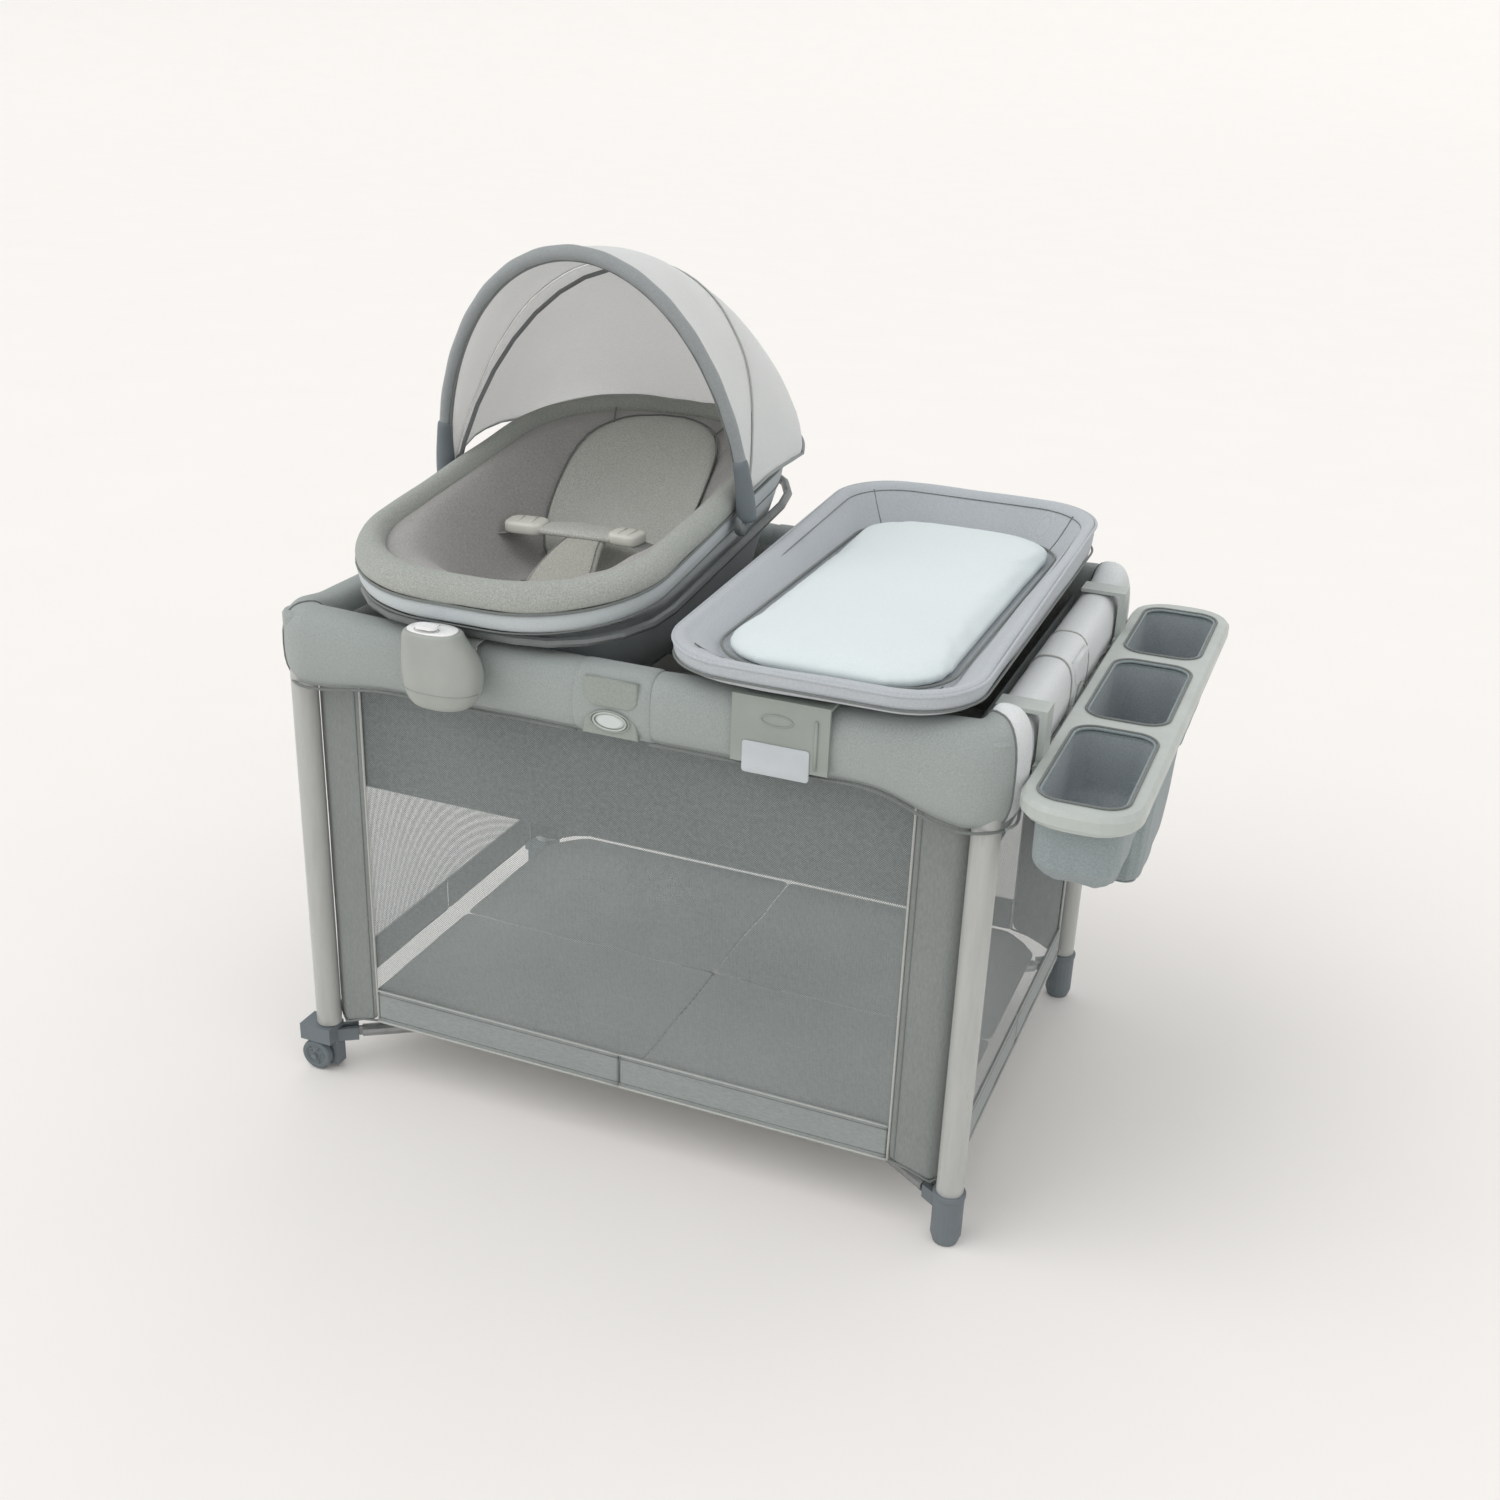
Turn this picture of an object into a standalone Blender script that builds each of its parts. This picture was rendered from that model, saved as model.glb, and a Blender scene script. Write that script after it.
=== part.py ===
"""Folding travel play yard with an infant seat, a changer and a side organizer.

Metres, +Z up. +X runs along the long side towards the organizer, and -Y is the
front long side. The origin is the centre of the hub's foot, on the floor.
"""

from math import copysign, cos, pi, sin

import bmesh
import bpy
from mathutils import Matrix, Vector

# Frame of the yard
LEG_X = 0.475
LEG_Y = 0.335
LEG_RADIUS = 0.018
LEG_BOTTOM = 0.0755
LEG_TOP = 0.668
BRACKET_RADIUS = 0.0225
BRACKET_TOP = 0.718
RAIL_Z = 0.690
RAIL_RADIUS = 0.0125
RAIL_PIVOT_INSET = 0.035
LATCH_PIVOT = 0.030
TONGUE_HALF = 0.004
CHEEK_GAP = 0.0045
CHEEK_OUT = 0.0105
CHEEK_HALF_HEIGHT = 0.010
PIVOT_TO_TUBE = 0.0142
PIVOT_TO_TIP = 0.0085

# Floor linkage: the arms span the same plan distance as the rail halves
ARM_Z = 0.055
ARM_RADIUS = 0.0095
ARM_PIVOT_INSET = 0.032
HUB_RADIUS = 0.045
HUB_HEIGHT = 0.072

# Soft yard
WALL_BOTTOM = 0.088
WALL_TOP = 0.640
WALL_THICKNESS = 0.003
FLOOR_THICKNESS = 0.006
LEG_CLEARANCE = 0.030
COVER_HALF = 0.030
COVER_BOTTOM = 0.628
COVER_TOP = 0.722
COVER_THICKNESS = 0.006

# Bassinet insert
INSERT_X = 0.438
INSERT_Y = 0.298
INSERT_BOTTOM = 0.455
INSERT_TOP = 0.700

# Infant seat
SEAT_X = -0.210
MODULE_X = -0.217
CROWN_X = -0.226
BUTTON_X = -0.230
SEAT_TILT = 0.135
SEAT_FOOT_Y = -0.385
PIVOT_Y = 0.0
PIVOT_Z = 0.820
FRONT_BOW_HALF = 0.236
FRONT_BOW_RISE = 0.350
FRONT_BOW_LEAN = -0.15
MID_BOW_HALF = 0.224
MID_BOW_RISE = 0.335
MID_BOW_LEAN = 0.42

# Changer
CHANGER_X = 0.255
CHANGER_HALF_X = 0.198
CHANGER_HALF_Y = 0.385

# Organizer
ORGANIZER_X = 0.584
ORGANIZER_HALF_X = 0.071
ORGANIZER_HALF_Y = 0.400
ORGANIZER_Z = 0.645
ORGANIZER_HEIGHT = 0.025

SIDES = (("front", -1), ("back", 1))
DRIVEN_CORNER = "front_left"
ENDS = (("left", -1), ("right", 1))

PLAN_X = LEG_X - RAIL_PIVOT_INSET - LATCH_PIVOT
PLAN_Y = LEG_Y - RAIL_PIVOT_INSET - LATCH_PIVOT
ARM_WAY = Vector((PLAN_X, PLAN_Y, 0)).normalized()

for old in list(bpy.data.objects):
    bpy.data.objects.remove(old, do_unlink=True)

play_yard = bpy.data.collections.new("travel_play_yard")
cutters = bpy.data.collections.new("cutters")
cutters.hide_render = True
for made in (play_yard, cutters):
    bpy.context.scene.collection.children.link(made)


def material(name, colour, roughness, metallic=0.0):
    made = bpy.data.materials.new(name)
    made.use_nodes = True
    shader = made.node_tree.nodes["Principled BSDF"]
    shader.inputs["Base Color"].default_value = (*colour, 1)
    shader.inputs["Roughness"].default_value = roughness
    shader.inputs["Metallic"].default_value = metallic
    made.diffuse_color = (*colour, 1)
    return made


tube_paint = material("champagne_tube", (0.47, 0.47, 0.42), 0.35, 0.6)
dark_plastic = material("dark_plastic", (0.16, 0.18, 0.19), 0.5)
grey_plastic = material("grey_plastic", (0.42, 0.45, 0.43), 0.4)
wheel_plastic = material("wheel_plastic", (0.17, 0.19, 0.20), 0.45)
steel = material("steel_tube", (0.35, 0.36, 0.37), 0.3, 0.9)
wall_fabric = material("wall_fabric", (0.22, 0.24, 0.25), 0.9)
cover_fabric = material("cover_fabric", (0.36, 0.38, 0.37), 0.9)
insert_fabric = material("insert_fabric", (0.13, 0.14, 0.14), 0.9)
seat_fabric = material("seat_fabric", (0.38, 0.38, 0.42), 0.9)
heather_fabric = material("heather_fabric", (0.42, 0.42, 0.39), 0.95)
canopy_fabric = material("canopy_fabric", (0.55, 0.57, 0.55), 0.9)
changer_fabric = material("changer_fabric", (0.40, 0.42, 0.45), 0.9)
pad_white = material("pad_white", (0.75, 0.80, 0.83), 0.85)
pocket_fabric = material("pocket_fabric", (0.17, 0.18, 0.20), 0.9)
strap_web = material("strap_web", (0.50, 0.49, 0.45), 0.9)


def keep(bm, name, skin, origin=(0, 0, 0), into=play_yard):
    """Turns a bmesh in world coordinates into an object whose origin is at the point given."""
    bmesh.ops.recalc_face_normals(bm, faces=bm.faces)
    bmesh.ops.translate(bm, vec=-Vector(origin), verts=bm.verts)
    mesh = bpy.data.meshes.new(name)
    bm.to_mesh(mesh)
    bm.free()
    made = bpy.data.objects.new(name, mesh)
    made.location = origin
    if skin:
        mesh.materials.append(skin)
    into.objects.link(made)
    if into is cutters:
        made.hide_render = True
        made.display_type = "WIRE"
    return made


def boolean(target, tool, operation):
    change = target.modifiers.new(tool.name, "BOOLEAN")
    change.object = tool
    change.operation = operation
    change.solver = "EXACT"
    return target


def loft(name, rings, skin, origin=(0, 0, 0), into=play_yard):
    """A closed solid through rings that have the same number of points, capped at both ends."""
    bm = bmesh.new()
    loops = [[bm.verts.new(point) for point in ring] for ring in rings]
    for lower, upper in zip(loops, loops[1:]):
        for i in range(len(lower)):
            j = (i + 1) % len(lower)
            bm.faces.new((lower[i], lower[j], upper[j], upper[i]))
    bm.faces.new(loops[0])
    bm.faces.new(loops[-1])
    return keep(bm, name, skin, origin, into)


def box(name, low, high, skin, origin=(0, 0, 0), into=play_yard):
    bm = bmesh.new()
    bmesh.ops.create_cube(bm, size=1)
    size = Vector(high) - Vector(low)
    bmesh.ops.scale(bm, vec=size, verts=bm.verts)
    bmesh.ops.translate(bm, vec=(Vector(high) + Vector(low)) / 2, verts=bm.verts)
    return keep(bm, name, skin, origin, into)


def span(a, b):
    return (min(a, b), max(a, b))


def box_between(name, xs, ys, zs, skin, origin=(0, 0, 0), into=play_yard):
    """A box from three pairs of limits, each in either order."""
    lows, highs = zip(*(span(*pair) for pair in (xs, ys, zs)))
    return box(name, lows, highs, skin, origin, into)


def rounded(centre_x, centre_y, half_x, half_y, radius, z, steps=4, extra=0):
    """A rounded rectangle as a ring of points, with extra points along the two sides that run along Y.

    z is a height, or a function of the point's y.
    """
    plan = []
    flat = half_y - radius
    corners = ((1, 1), (-1, 1), (-1, -1), (1, -1))
    for quarter, (side_x, side_y) in enumerate(corners):
        for i in range(steps + 1):
            turn = (quarter + i / steps) * pi / 2
            across = side_x * (half_x - radius) + radius * cos(turn)
            plan.append((across, side_y * flat + radius * sin(turn)))
        if side_x != side_y:
            for i in range(1, extra + 1):
                plan.append((side_x * half_x, side_y * flat * (1 - 2 * i / (extra + 1))))
    ring = []
    for x, y in plan:
        x, y = centre_x + x, centre_y + y
        ring.append((x, y, z(y) if callable(z) else z))
    return ring


def bar_section(middle, across, half_across, half_z, shape, count=12):
    """One ring round a bar: an ellipse, or the same points pushed out to a rectangle."""
    ring = []
    for i in range(count):
        turn = 2 * pi * i / count
        a, b = cos(turn), sin(turn)
        if shape == "flat":
            grow = 1 / max(abs(a), abs(b))
            a, b = a * grow, b * grow
        ring.append(Vector(middle) + Vector(across) * half_across * a + Vector((0, 0, half_z * b)))
    return ring


def jointed_bar(name, start, end, radius, skin):
    """A round tube between two pivots, with a flat tongue round each pivot. Its origin is the start."""
    start, end = Vector(start), Vector(end)
    way = (end - start).normalized()
    across = Vector((0, 0, 1)).cross(way)
    stations = (
        (start - way * PIVOT_TO_TIP, "flat"),
        (start + way * PIVOT_TO_TUBE, "flat"),
        (start + way * (PIVOT_TO_TUBE + 0.0005), "round"),
        (end - way * (PIVOT_TO_TUBE + 0.0005), "round"),
        (end - way * PIVOT_TO_TUBE, "flat"),
        (end + way * PIVOT_TO_TIP, "flat"),
    )
    rings = []
    for middle, shape in stations:
        wide = TONGUE_HALF if shape == "flat" else radius
        high = 0.007 if shape == "flat" else radius
        rings.append(bar_section(middle, across, wide, high, shape))
    return loft(name, rings, skin, start)


def add_cheeks(target, pivot, way, reach):
    """Joins two ears to the target, one each side of the tongue that turns at the pivot."""
    pivot, way = Vector(pivot), Vector(way)
    across = Vector((0, 0, 1)).cross(way)
    for side in (-1, 1):
        rings = []
        for along in (-reach, PIVOT_TO_TIP + 0.0005):
            middle = pivot + way * along + across * side * (CHEEK_GAP + CHEEK_OUT) / 2
            half = (CHEEK_OUT - CHEEK_GAP) / 2
            rings.append(
                [
                    middle + across * a * half + Vector((0, 0, b * CHEEK_HALF_HEIGHT))
                    for a, b in ((-1, -1), (1, -1), (1, 1), (-1, 1))
                ]
            )
        ear = loft(f"{target.name}_ear_{len(target.modifiers)}", rings, None, into=cutters)
        boolean(target, ear, "UNION")
    return target


def disc(name, centre, axis, radius, half, skin, origin=None, steps=24, into=play_yard):
    """A short cylinder about an axis along X, Y or Z."""
    axis = Vector(axis)
    side = Vector((0, 0, 1)) if abs(axis.z) < 0.5 else Vector((1, 0, 0))
    other = axis.cross(side)
    rings = []
    for along in (-half, half):
        rings.append(
            [
                Vector(centre) + axis * along
                + side * radius * cos(2 * pi * i / steps)
                + other * radius * sin(2 * pi * i / steps)
                for i in range(steps)
            ]
        )
    return loft(name, rings, skin, origin or centre, into)


def turned(name, profile, steps, skin, location, rotation=(0, 0, 0)):
    """A solid of revolution from (radius, height) pairs down its outer side, closed if they ring a bore."""
    bm = bmesh.new()
    points = [bm.verts.new((radius, 0, height)) for radius, height in profile]
    for a, b in zip(points, points[1:]):
        bm.edges.new((a, b))
    if min(radius for radius, _ in profile) > 0:
        bm.edges.new((points[-1], points[0]))
    mesh = bpy.data.meshes.new(name)
    bm.to_mesh(mesh)
    bm.free()
    mesh.materials.append(skin)
    made = bpy.data.objects.new(name, mesh)
    made.location = location
    made.rotation_euler = rotation
    play_yard.objects.link(made)
    screw = made.modifiers.new("turn", "SCREW")
    screw.steps = screw.render_steps = steps
    screw.use_merge_vertices = True
    screw.merge_threshold = 0.0001
    screw.use_smooth_shade = False
    return made


def tube(name, points, radius, skin, cyclic=False, origin=(0, 0, 0)):
    """A round rod along a path, as a curve with a bevel and closed ends."""
    curve = bpy.data.curves.new(name, "CURVE")
    curve.dimensions = "3D"
    curve.bevel_depth = radius
    curve.bevel_resolution = 2
    curve.use_fill_caps = not cyclic
    path = curve.splines.new("POLY")
    path.points.add(len(points) - 1)
    for spot, point in zip(path.points, points):
        spot.co = (*(Vector(point) - Vector(origin)), 1)
    path.use_cyclic_u = cyclic
    curve.materials.append(skin)
    made = bpy.data.objects.new(name, curve)
    made.location = origin
    play_yard.objects.link(made)
    return made


def yard_corner_nodes():
    for side, sy in SIDES:
        for end, sx in ENDS:
            place = f"{side}_{end}"
            foot = Vector((sx * LEG_X, sy * LEG_Y, 0))
            turned(
                f"leg_{place}",
                ((0, LEG_TOP), (LEG_RADIUS, LEG_TOP), (LEG_RADIUS, LEG_BOTTOM), (0, LEG_BOTTOM)),
                20,
                tube_paint,
                foot,
            )
            bracket = turned(
                f"corner_{place}",
                (
                    (0, BRACKET_TOP),
                    (BRACKET_RADIUS - 0.003, BRACKET_TOP),
                    (BRACKET_RADIUS, BRACKET_TOP - 0.004),
                    (BRACKET_RADIUS, LEG_TOP + 0.0005),
                    (0, LEG_TOP + 0.0005),
                ),
                24,
                dark_plastic,
                foot,
            )
            inset = RAIL_PIVOT_INSET
            add_cheeks(bracket, (foot.x - sx * inset, foot.y, RAIL_Z), (-sx, 0, 0), 0.016)
            add_cheeks(bracket, (foot.x, foot.y - sy * inset, RAIL_Z), (0, -sy, 0), 0.016)
            way = Vector((-sx * ARM_WAY.x, -sy * ARM_WAY.y, 0))
            pivot = foot + way * ARM_PIVOT_INSET + Vector((0, 0, ARM_Z))
            if sx > 0:
                boot = turned(
                    f"foot_{place}",
                    ((0, 0.075), (0.0205, 0.075), (0.0205, 0.012), (0.0165, 0.0), (0, 0.0)),
                    20,
                    dark_plastic,
                    foot,
                )
                add_cheeks(boot, pivot, way, 0.024)
                continue
            wheel_y = foot.y + sy * 0.015
            housing = box_between(
                f"wheel_housing_{place}",
                (foot.x + 0.015, foot.x - 0.036),
                (foot.y - sy * 0.013, wheel_y + sy * 0.009),
                (0.0495, 0.075),
                dark_plastic,
            )
            leg_side = box_between(
                f"wheel_cheek_{side}",
                (foot.x + 0.015, foot.x - 0.030),
                (foot.y - sy * 0.013, wheel_y - sy * 0.008),
                (0.006, 0.055),
                None,
                into=cutters,
            )
            centre = Vector((foot.x - 0.014, wheel_y, 0.024))
            axle = disc(f"wheel_axle_{side}", centre, (0, 1, 0), 0.004, 0.0115, None, steps=16, into=cutters)
            boolean(housing, leg_side, "UNION")
            boolean(housing, axle, "UNION")
            add_cheeks(housing, pivot, way, 0.024)
            rim = ((0.0045, 0.006), (0.020, 0.0065), (0.024, 0.0045), (0.024, -0.0045), (0.020, -0.0065),
                   (0.0045, -0.006))
            turned(f"wheel_{place}", rim, 28, wheel_plastic, centre, (pi / 2, 0, 0))


def top_rails():
    for side, sy in SIDES:
        for end, sx in ENDS:
            outer = LEG_X - RAIL_PIVOT_INSET
            jointed_bar(
                f"rail_{side}_{end}_half",
                (sx * outer, sy * LEG_Y, RAIL_Z),
                (sx * LATCH_PIVOT, sy * LEG_Y, RAIL_Z),
                RAIL_RADIUS,
                steel,
            )
            outer = LEG_Y - RAIL_PIVOT_INSET
            jointed_bar(
                f"rail_{end}_{side}_half",
                (sx * LEG_X, sy * outer, RAIL_Z),
                (sx * LEG_X, sy * LATCH_PIVOT, RAIL_Z),
                RAIL_RADIUS,
                steel,
            )


def frame_of(along_x, side):
    """The way along a rail, and the way out from the yard."""
    if along_x:
        return Vector((1, 0, 0)), Vector((0, side, 0))
    return Vector((0, 1, 0)), Vector((side, 0, 0))


def slab(name, centre, along, out, half_along, outs, zs, skin, origin=(0, 0, 0), into=play_yard):
    """A box whose sides follow a rail: half its length along it, and limits outward and in height."""
    a = Vector(centre) + along * half_along + out * outs[0]
    b = Vector(centre) - along * half_along + out * outs[1]
    return box_between(name, (a.x, b.x), (a.y, b.y), zs, skin, origin, into)


def latches_and_covers():
    rails = [(name, True, sign, LEG_Y, LEG_X) for name, sign in SIDES]
    rails += [(name, False, sign, LEG_X, LEG_Y) for name, sign in ENDS]
    for name, along_x, sign, off, long_half in rails:
        along, out = frame_of(along_x, sign)
        centre = out * off
        middle = centre + Vector((0, 0, RAIL_Z))
        first = middle - along * LATCH_PIVOT
        latch = slab(
            f"latch_{name}", centre, along, out, 0.018, (-0.0125, 0.0125), (0.646, 0.703), dark_plastic, first
        )
        for turn in (-1, 1):
            add_cheeks(latch, middle + along * turn * LATCH_PIVOT, along * turn, 0.016)
        middle = centre + out * 0.026 + Vector((0, 0, 0.658))
        rings = []
        for outward, half in ((-0.008, 0.020), (0.006, 0.020), (0.008, 0.016)):
            rings.append(
                [
                    middle + out * outward + along * half * cos(2 * pi * i / 24)
                    + Vector((0, 0, 0.5 * half * sin(2 * pi * i / 24)))
                    for i in range(24)
                ]
            )
        loft(f"latch_button_{name}", rings, grey_plastic, middle)
        half = long_half - 0.066
        cover = slab(
            f"rail_cover_{name}",
            centre, along, out, half, (-COVER_HALF, COVER_HALF), (COVER_BOTTOM, COVER_TOP), cover_fabric,
        )
        hollow_half = COVER_HALF - COVER_THICKNESS
        inside = slab(
            f"cover_hollow_{name}",
            centre, along, out, half + 0.01, (-hollow_half, hollow_half),
            (COVER_BOTTOM - 0.01, COVER_TOP - COVER_THICKNESS), None, into=cutters,
        )
        window = slab(
            f"cover_window_{name}",
            centre, along, out, 0.028, (COVER_HALF - 0.015, COVER_HALF + 0.01), (0.643, 0.673), None,
            into=cutters,
        )
        boolean(cover, inside, "DIFFERENCE")
        boolean(cover, window, "DIFFERENCE")


def turn_about(name, pivot, parts):
    """Hangs the parts on an empty that stands on the axis that they turn about."""
    axis = bpy.data.objects.new(name, None)
    axis.location = pivot
    axis.empty_display_size = 0.03
    play_yard.objects.link(axis)
    for part in parts:
        made = bpy.data.objects[part]
        made.parent = axis
        made.matrix_parent_inverse = Matrix.Translation(-Vector(pivot))


def floor_linkage():
    hub = turned(
        "floor_hub",
        (
            (0, HUB_HEIGHT),
            (0.038, HUB_HEIGHT),
            (HUB_RADIUS, 0.062),
            (HUB_RADIUS, 0.010),
            (0.040, 0.0),
            (0, 0.0),
        ),
        28,
        dark_plastic,
        (0, 0, 0),
    )
    for side, sy in SIDES:
        for end, sx in ENDS:
            place = f"{side}_{end}"
            leg = Vector((sx * LEG_X, sy * LEG_Y, ARM_Z))
            way = Vector((-sx * ARM_WAY.x, -sy * ARM_WAY.y, 0))
            outer = leg + way * ARM_PIVOT_INSET
            inner = outer - Vector((sx * PLAN_X, sy * PLAN_Y, 0))
            ends = (outer, inner) if place == DRIVEN_CORNER else (inner, outer)
            jointed_bar(f"floor_arm_{place}", *ends, ARM_RADIUS, steel)
            add_cheeks(hub, inner, -way, 0.030)
            if place == DRIVEN_CORNER:
                turn_about("hub_pivot", inner, ["floor_hub"])
            else:
                low_part = f"foot_{place}" if sx > 0 else f"wheel_housing_{place}"
                turn_about(f"leg_pivot_{place}", outer, [f"leg_{place}", f"corner_{place}", low_part])


def soft_yard():
    def ring(inset, z):
        x, y, cut = LEG_X - inset, LEG_Y - inset, LEG_CLEARANCE - 0.4 * inset
        corners = ((x, y - cut), (x - cut, y), (-x + cut, y), (-x, y - cut))
        corners += ((-x, -y + cut), (-x + cut, -y), (x - cut, -y), (x, -y + cut))
        return [(a, b, z) for a, b in corners]

    outer = (ring(0, WALL_BOTTOM), ring(0, WALL_TOP))
    inner = (ring(WALL_THICKNESS, WALL_TOP), ring(WALL_THICKNESS, WALL_BOTTOM + FLOOR_THICKNESS))
    loft("fabric_enclosure", (*outer, *inner), wall_fabric)


def bassinet():
    outer = [rounded(0, 0, INSERT_X, INSERT_Y, 0.03, z) for z in (INSERT_BOTTOM, INSERT_TOP)]
    thick = 0.003
    inner = [
        rounded(0, 0, INSERT_X - thick, INSERT_Y - thick, 0.027, z) for z in (INSERT_TOP, INSERT_BOTTOM + thick)
    ]
    loft("bassinet_insert", (*outer, *inner), insert_fabric)
    path = rounded(0, 0, 0.40, 0.26, 0.04, INSERT_BOTTOM + 0.0095)
    tube("bassinet_floor_frame", path, 0.006, steel, cyclic=True)
    low, high = INSERT_BOTTOM + 0.0165, INSERT_BOTTOM + 0.0415
    rings = [
        rounded(0, 0, 0.425, 0.285, 0.03, low + 0.004),
        rounded(0, 0, 0.430, 0.290, 0.03, (low + high) / 2),
        rounded(0, 0, 0.425, 0.285, 0.03, high - 0.004),
    ]
    loft(
        "mattress",
        [rounded(0, 0, 0.415, 0.275, 0.03, low), *rings, rounded(0, 0, 0.415, 0.275, 0.03, high)],
        heather_fabric,
    )


def seat_ring(half_x, front, back, radius, z, tilt=0.0):
    middle, half_y = (front + back) / 2, (back - front) / 2
    return rounded(SEAT_X, middle, half_x, half_y, radius, lambda y: z + tilt * (y - SEAT_FOOT_Y), 5, 3)


def infant_seat():
    outer = [
        seat_ring(0.125, -0.195, 0.180, 0.09, 0.615),
        seat_ring(0.172, -0.270, 0.262, 0.12, 0.672),
        seat_ring(0.190, -0.294, 0.290, 0.14, 0.733, 0.03),
        seat_ring(0.212, -0.378, 0.325, 0.17, 0.752, SEAT_TILT),
        seat_ring(0.216, -0.385, 0.330, 0.17, 0.775, SEAT_TILT),
        seat_ring(0.212, -0.381, 0.326, 0.17, 0.787, SEAT_TILT),
    ]
    inner = [
        seat_ring(0.205, -0.374, 0.318, 0.17, 0.787, SEAT_TILT),
        seat_ring(0.198, -0.366, 0.311, 0.16, 0.760, SEAT_TILT),
        seat_ring(0.180, -0.284, 0.280, 0.13, 0.738, 0.03),
        seat_ring(0.165, -0.263, 0.255, 0.11, 0.678),
        seat_ring(0.120, -0.190, 0.175, 0.085, 0.621),
    ]
    loft("seat_shell", (*outer, *inner), seat_fabric)
    outer = [
        seat_ring(0.117, -0.187, 0.172, 0.08, 0.6225),
        seat_ring(0.163, -0.260, 0.252, 0.11, 0.680),
        seat_ring(0.178, -0.281, 0.277, 0.13, 0.741, 0.03),
        seat_ring(0.196, -0.362, 0.308, 0.16, 0.7625, SEAT_TILT),
        seat_ring(0.203, -0.371, 0.315, 0.17, 0.790, SEAT_TILT),
        seat_ring(0.200, -0.368, 0.312, 0.16, 0.800, SEAT_TILT),
    ]
    inner = [
        seat_ring(0.180, -0.348, 0.294, 0.15, 0.802, SEAT_TILT),
        seat_ring(0.170, -0.325, 0.284, 0.13, 0.785, SEAT_TILT),
        seat_ring(0.155, -0.262, 0.252, 0.11, 0.746, 0.03),
        seat_ring(0.140, -0.235, 0.225, 0.09, 0.690),
        seat_ring(0.100, -0.170, 0.155, 0.07, 0.640),
    ]
    loft("seat_cushion", (*outer, *inner), heather_fabric)
    path = [(x, y, 0.7365 + 0.117 * (y + 0.352)) for x, y, _ in seat_ring(0.2185, -0.352, 0.333, 0.15, 0)]
    tube("seat_frame_ring", path, 0.0065, steel, cyclic=True)
    belt = box("seat_harness", (SEAT_X - 0.095, -0.004, 0.700), (SEAT_X + 0.095, 0.004, 0.726), strap_web)
    crotch = box("harness_crotch", (SEAT_X - 0.026, -0.095, 0.700), (SEAT_X + 0.026, 0.001, 0.708), None,
                 into=cutters)
    boolean(belt, crotch, "UNION")
    canopy_bows()
    seat_mounts()


def bow_path(half, rise, lean, count=18):
    """Half an ellipse over the seat, leaning back by an angle from upright."""
    path = []
    for i in range(count + 1):
        turn = pi * i / count
        up = rise * sin(turn)
        path.append((SEAT_X + half * cos(turn), PIVOT_Y + up * sin(lean), PIVOT_Z + up * cos(lean)))
    return path


def canopy_bows():
    pivot = (SEAT_X, PIVOT_Y, PIVOT_Z)
    tube("canopy_front_bow", bow_path(FRONT_BOW_HALF, FRONT_BOW_RISE, FRONT_BOW_LEAN), 0.0055, steel,
         origin=pivot)
    tube("canopy_mid_bow", bow_path(MID_BOW_HALF, MID_BOW_RISE, MID_BOW_LEAN), 0.0032, steel,
         origin=pivot)
    count = 14
    stations = (
        (0.2275, FRONT_BOW_RISE - 0.0035, FRONT_BOW_LEAN + 0.08, 0.085, 2.0),
        (0.2255, 0.3430, 0.15, 0.060, 2.05),
        (0.2235, 0.3350, MID_BOW_LEAN, 0.045, 2.3),
        (0.2250, 0.3350, 0.72, 0.038, 2.8),
        (0.2300, 0.3345, 1.00, 0.045, 3.4),
        (0.2345, 0.3360, 1.25, 0.085, 4.0),
        (0.2355, 0.3370, 1.36, 0.150, 4.0),
    )
    rings = []
    for half, rise, lean, start, square in stations:
        ring = []
        for grow in (0.0075, 0.0115):
            arc = []
            for i in range(count + 1):
                turn = pi * (start + (1 - 2 * start) * i / count)
                up = (rise + grow) * sin(turn) ** (2 / square)
                side = copysign(abs(cos(turn)) ** (2 / square), cos(turn))
                across = SEAT_X + (half + grow) * side
                arc.append((across, PIVOT_Y + up * sin(lean), PIVOT_Z + up * cos(lean)))
            ring += arc if grow == 0.0075 else arc[::-1]
        rings.append(ring)
    loft("canopy_fabric", rings, canopy_fabric, pivot)


def rail_hook(name, along, out, off, centre_along, half_along, drop, skin):
    """An upside-down U over a rail cover: a short inner lip, a top and an outer plate."""
    centre = out * off + along * centre_along
    low, high = COVER_TOP + 0.0015, COVER_TOP + 0.0065
    half = COVER_HALF + 0.0015
    top = slab(name, centre, along, out, half_along, (-half - 0.004, half + 0.005), (low, high), skin)
    lip = slab(f"{name}_lip", centre, along, out, half_along, (-half - 0.004, -half), (0.705, high - 0.001),
               None, into=cutters)
    plate = slab(f"{name}_plate", centre, along, out, half_along, (half, half + 0.005), (drop, high - 0.001),
                 None, into=cutters)
    boolean(top, lip, "UNION")
    return boolean(top, plate, "UNION")


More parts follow.
